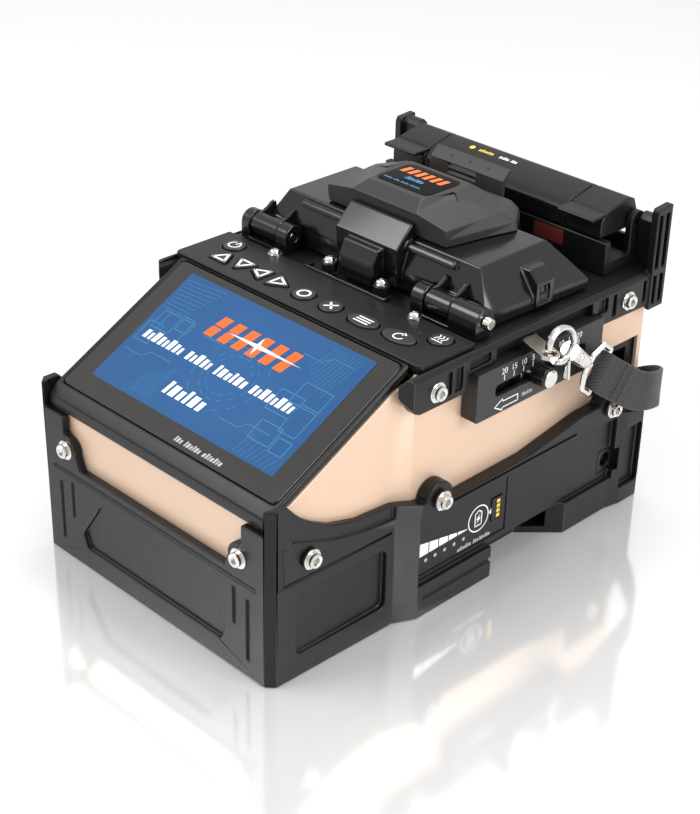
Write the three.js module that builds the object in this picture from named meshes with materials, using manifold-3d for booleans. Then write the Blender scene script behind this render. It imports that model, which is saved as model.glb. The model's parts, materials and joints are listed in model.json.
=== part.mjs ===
// Fibre fusion splicer: base tray, folded shell, tilted screen, key panel, wind cover over the
// splicing unit, tube heater, battery, fibre adjuster and carrying strap.
// Millimetres, +Z up. Inside the model Y is measured back from the front face of the base; the
// exported group moves the middle of the base's underside to the origin.
import * as THREE from "three";
import { mergeVertices } from "three/addons/utils/BufferGeometryUtils.js";
import Module from "manifold-3d";

// ---------- driving dimensions ----------
const LENGTH = 190; // base, front face to rear face
const HALF_WIDTH = 66; // centre plane to the base's side, behind its step
const DECK_TOP = 97.8; // top of the key panel above the surface it stands on
const GAP = 0.3; // between pieces that touch
const KEY_GAP = 0.35; // round each key
const SLIDE_GAP = 0.4; // round pieces that slide or turn

const FLOOR = 2.6; // base tray floor
const BASE_WALL = 3; // base tray front and rear walls
const CORNER_TOP = 68.4; // front corner posts
const SILL = 39.7; // lower edge of the front window
const REAR_WALL_TOP = 38.1;
const SIDE_STEP = [56, 64.3]; // the sides step outward between these
const FRONT_INSET = 5; // how much narrower the base is in front of the step
const SHELL_THICK = 1.5;
const SHELL_FRONT_INSET = 8.2; // shell side behind HALF_WIDTH, in front of the step
const SHELL_REAR_INSET = 5.5;
const SHELL_TOP = DECK_TOP - 3.8;

const SCREEN_FOOT = [5.4, 66.4]; // lower front edge of the tilted screen: y, z
const LIP_BOTTOM = 58.7; // underside of the lip in front of the screen
const LIP_HALF = HALF_WIDTH - SHELL_FRONT_INSET - GAP;
const PANEL_FRONT = 64.8; // front edge of the key panel
const PANEL_REAR = 91.5;
const PANEL_THICK = 3.2;
const PANEL_HALF = HALF_WIDTH - 4;
const GLASS_THICK = 1.2;
const KEY_PROUD = 0.6; // keys above the panel
const KEY_DEEP = 4.8; // keys below its top
const DECK_THICK = 3.5;
const PLATE_TOP = DECK_TOP - 2.3; // top of the deck plate
const ADJUSTER_TOP = 88.6; // the rails step up to here over the scale plate

const RAIL_THICK = 4.2;
const RAIL_TOP = DECK_TOP - 3;
const RAIL_LOW = DECK_TOP - 15.8;
const POST_TOP = DECK_TOP + 22.8;
const POST_DEPTH = 8.6;
const POST_REAR = LENGTH + 2.9;
const POST_INNER = HALF_WIDTH - 10;
const POST_OUTER = HALF_WIDTH;
const POST_FIN = 3.2; // the slotted outer plate of each post

const HINGE = [99.5, DECK_TOP + 3.7]; // wind cover hinge axis: y, z
const HINGE_PIN = 1.6;
const BARREL = 4.3;
const COVER_FRONT = HINGE[0] + BARREL + 0.8;
const COVER_HALF = HALF_WIDTH - 7.5; // at the foot, near the heater
const COVER_WALL = 2;
const COVER_TOP = DECK_TOP + 17;
const COVER_TOP_HALF = COVER_HALF - 11;
const COVER_REAR = 156;
const HOOD_TOP = DECK_TOP + 29.5;
const HOOD_HALF = 36;
const HOOD_NOSE = 29.5; // half the width of its front edge
const HOOD_FRONT = COVER_FRONT + 5.4;
const HOOD_REAR = 152.6;

const HEATER_FRONT = LENGTH - 21.5;
const HEATER_HALF = POST_INNER - 0.4;
const HEATER_AXIS = [LENGTH - 3, DECK_TOP + 14.2];
const HEATER_PIN = 1.4;
const LID_HALF = 35.3;
const CLAMP_WIDTH = 16.6;

const BATTERY = { y: 88.5, z: 26.8, wide: 46.6, tall: 22, deep: 108 };
const JACK = { y: LENGTH - 20, z: 21.2, wide: 9, tall: 9 };
const ADJUSTER = { y: 121.5, z: 79, plateLong: 67.5, plateTall: 18.4, travel: 20, rest: -3.2 };
const KNOB_RADIUS = 3.9;

const HOOK_PLANE = HALF_WIDTH + 12; // the snap hooks and the strap's ends lie in this plane
const HOOK_RING = [117.6, 93.8]; // middle of the hook's claw: y, z
const HOOK_DIRECTION = new THREE.Vector2(0.784, -0.621).normalize();
const LEFT_DROP = 14.4; // the left hook hangs this much lower, below its rail
const STRAP_WIDE = 15;
const STRAP_THICK = 1.6;

// ---------- materials ----------
function finish(color, roughness, metalness = 0) {
  return new THREE.MeshStandardMaterial({ color, roughness, metalness });
}
const BLACK = finish(0x1c1d1f, 0.62);
const GLOSS = finish(0x151618, 0.3);
const GREY = finish(0x3a3b3b, 0.6);
const BEIGE = finish(0xf0d6be, 0.4, 0.3);
const GLASS = finish(0x0a1a2c, 0.08);
const RUBBER = finish(0x202122, 0.75);
const CHROME = finish(0xd8d8d8, 0.15, 1);
const STEEL = finish(0xa9abad, 0.35, 1);
const ANODISED = finish(0x2b2c2e, 0.5, 0.6);
const ALUMINIUM = finish(0xb9bcc0, 0.4, 1);
const WEB = finish(0x232324, 0.9);
const BOARD = finish(0x1f5a38, 0.6);

// ---------- solids ----------
const wasm = await Module();
wasm.setup();

function solid(geometry) {
  const bare = geometry.index ? geometry.toNonIndexed() : geometry;
  const points = new THREE.BufferGeometry();
  points.setAttribute("position", bare.getAttribute("position"));
  const merged = mergeVertices(points, 1e-4);
  return new wasm.Manifold(
    new wasm.Mesh({
      numProp: 3,
      vertProperties: merged.attributes.position.array,
      triVerts: new Uint32Array(merged.index.array),
    }),
  );
}

function geometryOf(body) {
  const mesh = body.getMesh();
  const geometry = new THREE.BufferGeometry();
  geometry.setAttribute("position", new THREE.BufferAttribute(mesh.vertProperties, 3));
  geometry.setIndex(new THREE.BufferAttribute(mesh.triVerts, 1));
  const flat = geometry.toNonIndexed();
  flat.computeVertexNormals();
  return flat;
}

function join(first, ...others) {
  return others.reduce((whole, other) => whole.add(other), first);
}

function cut(first, ...tools) {
  return tools.reduce((whole, tool) => whole.subtract(tool), first);
}

// The same solid on the other side of the centre plane.
function mirrored(body) {
  const geometry = geometryOf(body);
  const position = geometry.getAttribute("position");
  for (let i = 0; i < position.count; i += 3) {
    const corners = [0, 1, 2].map((k) => new THREE.Vector3().fromBufferAttribute(position, i + k));
    [0, 2, 1].forEach((from, to) => {
      const corner = corners[from];
      position.setXYZ(i + to, -corner.x, corner.y, corner.z);
    });
  }
  return solid(geometry);
}

function bothSides(body) {
  return body.add(mirrored(body));
}

// A closed outline whose corners are rounded by radius, or by half the shorter side.
function outline(points, radius = 0) {
  const corners = points.map(([a, b]) => new THREE.Vector2(a, b));
  const shape = new THREE.Shape();
  corners.forEach((corner, i) => {
    const before = corners[(i + corners.length - 1) % corners.length];
    const after = corners[(i + 1) % corners.length];
    const reach = (other) => Math.min(radius, corner.distanceTo(other) * 0.49);
    const toward = (other) =>
      other.clone().sub(corner).setLength(reach(other)).add(corner);
    const from = radius > 0 ? toward(before) : corner;
    if (i === 0) shape.moveTo(from.x, from.y);
    else shape.lineTo(from.x, from.y);
    if (radius > 0) {
      const to = toward(after);
      shape.quadraticCurveTo(corner.x, corner.y, to.x, to.y);
    }
  });
  shape.closePath();
  return shape;
}

const AXIS_X = new THREE.Vector3(1, 0, 0);
const AXIS_Y = new THREE.Vector3(0, 1, 0);
const AXIS_Z = new THREE.Vector3(0, 0, 1);
const ACROSS = new THREE.Matrix4().makeBasis(AXIS_Y, AXIS_Z, AXIS_X);
const BACKWARD = new THREE.Matrix4().makeBasis(AXIS_X, AXIS_Z, AXIS_Y.clone().negate());

function extruded(shape, depth, segments) {
  return new THREE.ExtrudeGeometry(shape, {
    depth,
    bevelEnabled: false,
    curveSegments: segments,
  });
}

// Outline in x, y pushed up from z0 to z1.
function plan(points, [z0, z1], radius = 0, segments = 4) {
  return solid(extruded(outline(points, radius), z1 - z0, segments).translate(0, 0, z0));
}

// Outline in y, z pushed along X.
function profile(points, [x0, x1], radius = 0, segments = 4) {
  const geometry = extruded(outline(points, radius), x1 - x0, segments);
  return solid(geometry.applyMatrix4(ACROSS).translate(x0, 0, 0));
}

// Outline in x, z pushed along Y.
function elevation(points, [y0, y1], radius = 0, segments = 4) {
  const geometry = extruded(outline(points, radius), y1 - y0, segments);
  return solid(geometry.applyMatrix4(BACKWARD).translate(0, y1, 0));
}

function box([x0, x1], [y0, y1], [z0, z1]) {
  const geometry = new THREE.BoxGeometry(x1 - x0, y1 - y0, z1 - z0);
  return solid(geometry.translate((x0 + x1) / 2, (y0 + y1) / 2, (z0 + z1) / 2));
}

function corners([a0, a1], [b0, b1]) {
  return [
    [a0, b0],
    [a1, b0],
    [a1, b1],
    [a0, b1],
  ];
}

// A round bar between two points, each [x, y, z].
function bar(from, to, radius, sides = 16, endRadius = radius) {
  const start = new THREE.Vector3(...from);
  const end = new THREE.Vector3(...to);
  const geometry = new THREE.CylinderGeometry(
    endRadius,
    radius,
    start.distanceTo(end),
    sides,
  );
  const direction = end.clone().sub(start).normalize();
  geometry.applyQuaternion(new THREE.Quaternion().setFromUnitVectors(AXIS_Y, direction));
  const middle = start.add(end).multiplyScalar(0.5);
  return solid(geometry.translate(middle.x, middle.y, middle.z));
}

function ball([x, y, z], radius, sides = 12) {
  return solid(new THREE.SphereGeometry(radius, sides, sides / 2).translate(x, y, z));
}

// A solid skinned through convex rings of points, all with the same count and turned the same way.
function loft(rings) {
  const flat = [];
  const put = (...points) => points.forEach((point) => flat.push(...point));
  rings.slice(1).forEach((ring, i) => {
    const last = rings[i];
    ring.forEach((point, k) => {
      const next = (k + 1) % ring.length;
      put(last[k], last[next], ring[next]);
      put(last[k], ring[next], point);
    });
  });
  const first = rings[0];
  const end = rings[rings.length - 1];
  for (let k = 1; k < first.length - 1; k += 1) {
    put(first[0], first[k + 1], first[k]);
    put(end[0], end[k], end[k + 1]);
  }
  const geometry = new THREE.BufferGeometry();
  geometry.setAttribute("position", new THREE.Float32BufferAttribute(flat, 3));
  return solid(geometry);
}

// ---------- the assembly ----------
const assembly = new THREE.Group();
assembly.position.set(0, -LENGTH / 2, 0);

function add(name, body, material) {
  const mesh = new THREE.Mesh(geometryOf(body), material);
  mesh.name = name;
  assembly.add(mesh);
}

// Right-hand points of a symmetric outline, completed by their mirror images.
function symmetric(points) {
  return [...points, ...points.map(([x, y]) => [-x, y]).reverse()];
}

function shellOutline(out, front, rear) {
  const narrow = HALF_WIDTH - SHELL_FRONT_INSET + out;
  const wide = HALF_WIDTH - SHELL_REAR_INSET + out;
  const [y0, y1] = SIDE_STEP;
  return symmetric([
    [narrow, front],
    [narrow, y0],
    [wide, y1],
    [wide, rear],
  ]);
}

// ---------- base tray ----------
const FRONT_HALF = HALF_WIDTH - FRONT_INSET;
const BOSS_FRONT = [73.6, 45.6]; // side screws: y, z
const BOSS_REAR = [LENGTH - 23, 46];
const BOSS_RADIUS = 6.6;
const RAIL_FOOT_TOP = 12;
const NOTCH = { y0: 103, y1: LENGTH - 59, rise: 13, inner: HALF_WIDTH - 13 };

function sideTop() {
  const [y0, y1] = SIDE_STEP;
  return [
    [-1, CORNER_TOP],
    [7.5, CORNER_TOP],
    [11.2, 64.1],
    [15, 60.4],
    [19.6, 57.2],
    [27.3, 53],
    [39.7, 49.4],
    [y0 + 2, 48],
    [y1 + 1.8, 46.6],
    [BOSS_FRONT[0], 43.6],
    [BOSS_FRONT[0] + 6, 42.8],
    [LENGTH - 70, 43.4],
    [BOSS_REAR[0] - 17, 48.2],
    [BOSS_REAR[0] + 1, 48.6],
    [BOSS_REAR[0] + 7, 41.9],
    [LENGTH - BASE_WALL - 0.4, REAR_WALL_TOP],
    [LENGTH + 4, REAR_WALL_TOP],
  ];
}

function baseTray() {
  const flare = 1.5;
  const [y0, y1] = SIDE_STEP;
  const outer = symmetric([
    [FRONT_HALF - 2.8, 0],
    [FRONT_HALF, 2.8],
    [FRONT_HALF + 1.1, y0],
    [HALF_WIDTH, y1],
    [HALF_WIDTH, LENGTH - 20],
    [HALF_WIDTH + flare, LENGTH - 13.5],
    [HALF_WIDTH + flare, LENGTH - 2.5],
    [HALF_WIDTH - 1, LENGTH],
  ]);
  const cavity = shellOutline(GAP, BASE_WALL, LENGTH - BASE_WALL);
  let body = cut(plan(outer, [0, CORNER_TOP]), plan(cavity, [FLOOR, CORNER_TOP + 1]));
  const sky = [...sideTop(), [LENGTH + 4, CORNER_TOP + 5], [-1, CORNER_TOP + 5]];
  body = cut(body, profile(sky, [-HALF_WIDTH - 5, HALF_WIDTH + 5]));
  // bosses round the side screws
  for (const [y, z] of [BOSS_FRONT, BOSS_REAR]) {
    const boss = bar([HALF_WIDTH - SHELL_REAR_INSET + GAP, y, z], [HALF_WIDTH, y, z], BOSS_RADIUS, 20);
    body = join(body, bothSides(boss));
  }
  // front window, with a boss round each front screw
  const screw = [HALF_WIDTH - 19.9, 45.5];
  const window = elevation(
    symmetric([
      [HALF_WIDTH - 27.4, SILL],
      [HALF_WIDTH - 25.6, SILL + 4.5],
      [HALF_WIDTH - 19, SILL + 12],
      [HALF_WIDTH - 19, CORNER_TOP + 2],
    ]),
    [-1, BASE_WALL + 0.2],
  );
  const lipRoom = box(
    [-LIP_HALF - GAP, LIP_HALF + GAP],
    [-1, BASE_WALL + 1],
    [LIP_BOTTOM - GAP, CORNER_TOP + 1],
  );
  const boss = bar([screw[0], 0, screw[1]], [screw[0], BASE_WALL, screw[1]], 5.6, 20);
  body = join(cut(body, window, lipRoom), bothSides(boss));
  return cut(body, ...frontPockets(), ...sidePockets());
}

function frontPockets() {
  const pocket = elevation(
    symmetric([
      [HALF_WIDTH - 29.7, 8.2],
      [HALF_WIDTH - 27.5, 14.1],
      [HALF_WIDTH - 38.3, 29.7],
    ]),
    [-1, 1.4],
    1.5,
  );
  const groove = (x, z) => box(x, [-1, 0.8], z);
  const verticals = [
    groove([HALF_WIDTH - 16.5, HALF_WIDTH - 15.3], [6.8, 31]),
    groove([HALF_WIDTH - 23.2, HALF_WIDTH - 22], [18.6, 33]),
  ].map(bothSides);
  return [pocket, groove([12 - HALF_WIDTH, HALF_WIDTH - 12], [35.7, 36.9]), ...verticals];
}

function sidePockets() {
  const out = HALF_WIDTH + 6;
  const [y0] = SIDE_STEP;
  const belowPad = 37.8;
  // above and in front of the raised screw pad the wall is thinner
  const thin = profile(
    [
      [3.2, belowPad],
      [6, belowPad],
      [6, 53.4],
      [9.3, 54.5],
      [28, 47.5],
      [42.2, 44.5],
      [y0, 43.3],
      [y0, CORNER_TOP + 2],
      [3.2, CORNER_TOP + 2],
    ],
    [FRONT_HALF - 0.2, out],
  );
  const line = profile(corners([6, y0 - 1], [belowPad, belowPad + 0.9]), [FRONT_HALF - 0.2, out]);
  const pocket = profile(corners([11.6, y0 - 3.6], [8.7, 32.6]), [FRONT_HALF - 1.1, out], 3);
  const panel = profile(
    corners([SIDE_STEP[1] + 0.6, LENGTH - 18], [RAIL_FOOT_TOP + 1, 39.4]),
    [HALF_WIDTH - 2, out],
  );
  const rearPanel = profile(corners([LENGTH - 14, LENGTH - 3], [7, 33]), [HALF_WIDTH - 1, out], 1);
  const upper = profile(corners([BOSS_FRONT[0] + 2, LENGTH - 42], [41.4, 42.2]), [HALF_WIDTH - 1, out]);
  const footGroove = profile(
    corners([SIDE_STEP[1] + 3, NOTCH.y0 + 4], [6.5, 8]),
    [HALF_WIDTH - 0.9, out],
  );
  const notch = [
    [NOTCH.inner, NOTCH.y0],
    [out + 5, NOTCH.y0],
    [out + 5, NOTCH.y1 + 17],
    [HALF_WIDTH, NOTCH.y1 + 14],
    [NOTCH.inner, NOTCH.y1],
  ];
  const cuts = [thin, line, pocket, panel, rearPanel, upper, footGroove];
  return [...cuts.map(bothSides), bothSides(plan(notch, [-1, NOTCH.rise]))];
}

function batteryBay() {
  const { y, z, wide, tall, deep } = BATTERY;
  const bay = box(
    [HALF_WIDTH - 2.2 - deep - SLIDE_GAP, HALF_WIDTH + 1],
    [y - wide / 2 - SLIDE_GAP, y + wide / 2 + SLIDE_GAP],
    [z - tall / 2 - SLIDE_GAP, z + tall / 2 + SLIDE_GAP],
  );
  const jack = box(
    [HALF_WIDTH - 7, HALF_WIDTH + 1],
    [JACK.y - JACK.wide / 2 - GAP, JACK.y + JACK.wide / 2 + GAP],
    [JACK.z - JACK.tall / 2 - GAP, JACK.z + JACK.tall / 2 + GAP],
  );
  return [bay, jack];
}

// Inside the notches the cavity is closed by a low wall and a ledge, and pillars carry the board.
function baseInside() {
  const ledgeTop = NOTCH.rise + 2;
  const ledge = box(
    [NOTCH.inner - 2, HALF_WIDTH - SHELL_REAR_INSET + 1],
    [NOTCH.y0 - 2, NOTCH.y1 + 16],
    [FLOOR - 1, ledgeTop],
  );
  const notch = box([NOTCH.inner, HALF_WIDTH + 6], [NOTCH.y0, NOTCH.y1 + 14], [-1, NOTCH.rise]);
  return bothSides(cut(ledge, notch));
}

const BOARD_REST = 44;
function boardPillars() {
  const at = (x, y) => bar([x, y, FLOOR - 1], [x, y, BOARD_REST], 3, 12);
  const x = HALF_WIDTH - 18;
  return [at(x, 58), at(-x, 58), at(x, LENGTH - 30), at(-x, LENGTH - 30)];
}

function batteryGuides() {
  const { y, z, wide, tall } = BATTERY;
  const below = z - tall / 2 - SLIDE_GAP;
  const rail = (from) =>
    box([-HALF_WIDTH + 24, HALF_WIDTH - 8], [from, from + 3], [FLOOR - 1, below]);
  return [rail(y - wide / 2 + 3), rail(y + wide / 2 - 6)];
}

const tray = join(baseTray(), baseInside(), ...boardPillars(), ...batteryGuides());
add("base_tray", cut(tray, ...batteryBay()), BLACK);

// ---------- screen, set out in its own tilted frame ----------
const SLOPE_TOP = [PANEL_FRONT, DECK_TOP - 0.6];
const slope = new THREE.Vector3(0, SLOPE_TOP[0] - SCREEN_FOOT[0], SLOPE_TOP[1] - SCREEN_FOOT[1]);
const SLOPE_LONG = slope.length();
const SLOPE_UP = slope.clone().normalize();
const SLOPE_OUT = AXIS_X.clone().cross(SLOPE_UP);
const TILTED = new THREE.Matrix4()
  .makeBasis(AXIS_X, SLOPE_UP, SLOPE_OUT)
  .setPosition(0, ...SCREEN_FOOT);

// Outline in x and distance up the slope, pushed out of the screen from n0 to n1.
function tilted(points, [n0, n1], radius = 0) {
  const geometry = extruded(outline(points, radius), n1 - n0, 4).translate(0, 0, n0);
  return solid(geometry.applyMatrix4(TILTED));
}

const GLASS_HALF = LIP_HALF - 2;
const GLASS_SPAN = [1.6, SLOPE_LONG - 1.4];
const LCD_HALF = 51;
const LCD_SPAN = [5.5, SLOPE_LONG - 4];

function underScreen(drop) {
  const [y0, z0] = SCREEN_FOOT;
  const [y1, z1] = SLOPE_TOP;
  const rise = (z1 - z0) / (y1 - y0);
  return (y) => z0 + (y - y0) * rise - drop;
}
const HOUSING_UNDER = underScreen(3.4);
const LIP_REAR = 8.2;

function screenHousing() {
  const [y0, z0] = SCREEN_FOOT;
  const [y1, z1] = SLOPE_TOP;
  const front = 2.2;
  const body = profile(
    [
      [front, LIP_BOTTOM],
      [LIP_REAR, LIP_BOTTOM],
      [LIP_REAR, HOUSING_UNDER(LIP_REAR + 3)],
      [LIP_REAR + 3, HOUSING_UNDER(LIP_REAR + 3)],
      [y1 - GAP, HOUSING_UNDER(y1 - GAP)],
      [y1 - GAP, z1],
      [y0, z0],
      [front, z0 - 3.2],
    ],
    [-LIP_HALF, LIP_HALF],
  );
  const recess = tilted(
    corners([-GLASS_HALF - GAP, GLASS_HALF + GAP], [GLASS_SPAN[0] - GAP, GLASS_SPAN[1] + GAP]),
    [-GLASS_THICK - GAP, 4],
    2.4,
  );
  const opening = tilted(
    corners([-LCD_HALF - GAP, LCD_HALF + GAP], [LCD_SPAN[0] - GAP, LCD_SPAN[1] + GAP]),
    [-12, 0],
  );
  return cut(body, recess, opening);
}

add("screen_housing", screenHousing(), BLACK);
add(
  "screen_glass",
  tilted(corners([-GLASS_HALF, GLASS_HALF], GLASS_SPAN), [-GLASS_THICK, 0], 2.2),
  GLASS,
);
add(
  "lcd_module",
  tilted(corners([-LCD_HALF, LCD_HALF], LCD_SPAN), [-GLASS_THICK - GAP - 4, -GLASS_THICK - GAP]),
  STEEL,
);

// ---------- folded shell ----------
const PORT_WINDOW = { y: [160.5, LENGTH - 2.4], z: [49.4, 67.2] };
function bodyShell() {
  const bottom = REAR_WALL_TOP + GAP;
  const front = BASE_WALL + GAP;
  const outer = plan(shellOutline(0, front, LENGTH), [bottom, SHELL_TOP]);
  const inner = plan(
    shellOutline(-SHELL_THICK, front + SHELL_THICK, LENGTH - SHELL_THICK),
    [bottom - 1, SHELL_TOP + 1],
  );
  const under = (y) => HOUSING_UNDER(y) - GAP;
  const opening = profile(
    [
      [-1, LIP_BOTTOM - GAP],
      [LIP_REAR + GAP, LIP_BOTTOM - GAP],
      [LIP_REAR + GAP, under(LIP_REAR + 3)],
      [LIP_REAR + 3, under(LIP_REAR + 3)],
      [PANEL_FRONT, under(PANEL_FRONT)],
      [PANEL_FRONT, SHELL_TOP + 2],
      [-1, SHELL_TOP + 2],
    ],
    [-HALF_WIDTH, HALF_WIDTH],
  );
  const ports = box([HALF_WIDTH - 12, HALF_WIDTH], PORT_WINDOW.y, PORT_WINDOW.z);
  return cut(outer, inner, opening, ports, ...batteryBay());
}
add("body_shell", bodyShell(), BEIGE);

// ---------- key panel and keys ----------
function circle(radius, sides = 16) {
  return Array.from({ length: sides }, (_, i) => {
    const turn = (i / sides) * 2 * Math.PI;
    return [radius * Math.cos(turn), radius * Math.sin(turn)];
  });
}

// A triangle that points along the given turn, its corners set for rounding.
function arrowhead(size, turn) {
  return [0, 1, 2].map((i) => {
    const angle = turn + (i * 2 * Math.PI) / 3;
    return [size * Math.cos(angle), size * Math.sin(angle)];
  });
}

const QUARTER = Math.PI / 2;
const ROUND_KEY = 4.3;
const ARROW_KEY = 5.6;
const KEYS = [
  { name: "power", at: [-50.2, 83.6], shape: "round" },
  { name: "up", at: [-44.9, 73], shape: "arrow", turn: QUARTER },
  { name: "down", at: [-35.6, 75.4], shape: "arrow", turn: -QUARTER },
  { name: "left", at: [-25.4, 74.6], shape: "arrow", turn: 2 * QUARTER },
  { name: "right", at: [-16, 74.2], shape: "arrow", turn: 0 },
  { name: "ok", at: [-2.8, 74.2], shape: "round" },
  { name: "cancel", at: [10.6, 74.4], shape: "round" },
  { name: "set", at: [26.2, 74.6], shape: "oval", long: 6.6 },
  { name: "reset", at: [42.6, 75], shape: "oval", long: 7 },
  { name: "heat", at: [53.4, 84], shape: "round" },
];

function keyOutline(key, grow) {
  const [x, y] = key.at;
  let points = circle(ROUND_KEY + grow);
  if (key.shape === "arrow") points = arrowhead(ARROW_KEY + 2 * grow, key.turn);
  if (key.shape === "oval") {
    points = circle(1).map(([a, b]) => [a * (key.long + grow), b * (4 + grow)]);
  }
  return points.map(([a, b]) => [x + a, y + b]);
}

function keySolid(key, grow, span) {
  return plan(keyOutline(key, grow), span, key.shape === "arrow" ? 1.6 + grow : 0, 3);
}

function keyPanel() {
  const bottom = DECK_TOP - PANEL_THICK;
  const slab = plan(
    symmetric([
      [PANEL_HALF - 1, PANEL_FRONT],
      [PANEL_HALF, PANEL_FRONT + 1.5],
      [PANEL_HALF, PANEL_REAR],
    ]),
    [bottom, DECK_TOP],
  );
  const holes = KEYS.map((key) => keySolid(key, KEY_GAP, [bottom - 1, DECK_TOP + 1]));
  return cut(slab, ...holes);
}
add("key_panel", keyPanel(), BLACK);

for (const key of KEYS) {
  add("key_" + key.name, keySolid(key, 0, [DECK_TOP - KEY_DEEP, DECK_TOP + KEY_PROUD]), RUBBER);
}

const KEYPAD_TOP = DECK_TOP - KEY_DEEP - 1.2;
add(
  "keypad_board",
  box(
    [6 - PANEL_HALF, PANEL_HALF - 6],
    [PANEL_FRONT + 2.5, PANEL_REAR - 1],
    [KEYPAD_TOP - 1.4, KEYPAD_TOP],
  ),
  BOARD,
);

// ---------- deck plate ----------
const SPLICE_Y = 130; // the arc is struck here, on the centre plane
function deckPlate() {
  const front = PANEL_REAR + GAP;
  const inside = HALF_WIDTH - SHELL_REAR_INSET - SHELL_THICK - GAP;
  const flange = box([-PANEL_HALF, PANEL_HALF], [front, LENGTH], [SHELL_TOP + GAP, PLATE_TOP]);
  const body = box(
    [-inside, inside],
    [front, LENGTH - SHELL_THICK - GAP],
    [PLATE_TOP - DECK_THICK, PLATE_TOP],
  );
  const slab = join(flange, body);
  const ledge = elevation(
    symmetric([
      [18, PLATE_TOP - 1],
      [20, PLATE_TOP + 1.4],
    ]),
    [front, HINGE[0] - 5.4],
  );
  const lens = bar([0, SPLICE_Y, PLATE_TOP - 9], [0, SPLICE_Y, PLATE_TOP + 1], 6.4, 20);
  return cut(join(slab, ledge), lens);
}
add("deck_plate", deckPlate(), BLACK);

// ---------- side rails with their rear posts ----------
const RAIL_INNER = HALF_WIDTH - SHELL_REAR_INSET + GAP;
const RAIL_OUTER = RAIL_INNER + RAIL_THICK;

function railStrip() {
  const crest = RAIL_TOP + 0.9;
  const side = [
    [54.6, RAIL_TOP],
    [55.6, RAIL_TOP - 5],
    [60.2, RAIL_LOW + 1.2],
    [62.4, RAIL_LOW],
    [84, RAIL_LOW],
    [86.5, ADJUSTER_TOP],
    [156.5, ADJUSTER_TOP],
    [158.5, RAIL_LOW + 0.6],
    [POST_REAR - POST_DEPTH - 1, RAIL_LOW],
    [POST_REAR - POST_DEPTH + 2, RAIL_LOW - 1.5],
    [POST_REAR, RAIL_LOW - 1.5],
    [POST_REAR, crest],
    [60, crest],
  ];
  // the nose slopes back to the shell and the top edge is bevelled
  const nose = plan(
    [
      [RAIL_INNER - 2, 53],
      [RAIL_OUTER + 2, 53],
      [RAIL_OUTER + 2, 60.4],
      [RAIL_OUTER, 59.4],
      [RAIL_INNER - 2, 54.4],
    ],
    [0, 200],
  );
  const bevel = elevation(
    [
      [RAIL_OUTER - 1.6, crest + 0.01],
      [RAIL_OUTER + 1, crest - 2.2],
      [RAIL_OUTER + 1, crest + 2],
      [RAIL_OUTER - 1.6, crest + 2],
    ],
    [50, POST_REAR + 1],
  );
  const underPanel = box([0, PANEL_HALF + GAP], [0, LENGTH + 9], [SHELL_TOP, 200]);
  return cut(profile(side, [RAIL_INNER, RAIL_OUTER]), nose, bevel, underPanel);
}

// The core of each post stops lower than its outer fin, on the right more than on the left.
function railPost(coreTop) {
  const front = POST_REAR - POST_DEPTH;
  const fin = profile(
    [
      [front, RAIL_TOP - 3],
      [POST_REAR, RAIL_TOP - 3],
      [POST_REAR, POST_TOP],
      [front + 1, POST_TOP - 0.5],
      [front, POST_TOP - 2.5],
    ],
    [POST_OUTER - POST_FIN, POST_OUTER],
  );
  const core = profile(
    [
      [front + 2.2, PLATE_TOP + GAP],
      [POST_REAR, PLATE_TOP + GAP],
      [POST_REAR, coreTop - 2],
      [POST_REAR - 2, coreTop],
      [front + 4, coreTop],
      [front + 2.2, coreTop - 2],
    ],
    [POST_INNER, POST_OUTER - POST_FIN + 0.5],
  );
  const foot = box([RAIL_OUTER - 1, POST_OUTER], [front, POST_REAR], [RAIL_LOW - 1.5, RAIL_TOP]);
  return join(fin, core, foot);
}

function rail(coreTop) {
  const pocket = (y, z, x = RAIL_OUTER - 1.6) => box([x, POST_OUTER + 3], y, z);
  const tall = [RAIL_LOW + 2.2, RAIL_TOP - 2];
  const ribs = [
    pocket([75.6, 77.8], tall),
    pocket([79.6, 83.2], tall),
    pocket([86.6, 97], [ADJUSTER_TOP + 1.2, RAIL_TOP - 1.6]),
    pocket([100, 151.5], [ADJUSTER_TOP - 1, RAIL_TOP - 1.4], RAIL_OUTER - 2.9),
    pocket([155, 160.5], [ADJUSTER_TOP - 1, RAIL_TOP - 1.6]),
    pocket([163.4, 165.6], tall),
    pocket([181.4, 183.2], tall),
  ];
  const slots = [POST_REAR - 7.3, POST_REAR - 3.4].flatMap((y) => [
    pocket([y, y + 2], [RAIL_LOW + 0.4, RAIL_TOP - 1], POST_OUTER - 2),
    pocket([y, y + 2], [RAIL_TOP + 1.6, POST_TOP - 3], POST_OUTER - 2),
  ]);
  return cut(join(railStrip(), railPost(coreTop)), ...ribs, ...slots);
}
add("frame_rail_right", rail(POST_TOP - 5), BLACK);
add("frame_rail_left", mirrored(rail(POST_TOP - 0.6)), BLACK);

// ---------- rear panel and side port panel ----------
function rearPanel() {
  const half = HALF_WIDTH - SHELL_REAR_INSET - 6;
  const bottom = REAR_WALL_TOP + 2;
  const plate = box([-half, half], [LENGTH + GAP, LENGTH + 1.8], [bottom, 68]);
  const vents = [0, 1, 2, 3, 4].map((i) =>
    box([-30, 30], [LENGTH, LENGTH + 3], [bottom + 4 + i * 4.6, bottom + 6 + i * 4.6]),
  );
  return cut(plate, ...vents);
}
add("rear_panel", rearPanel(), BLACK);

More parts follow.
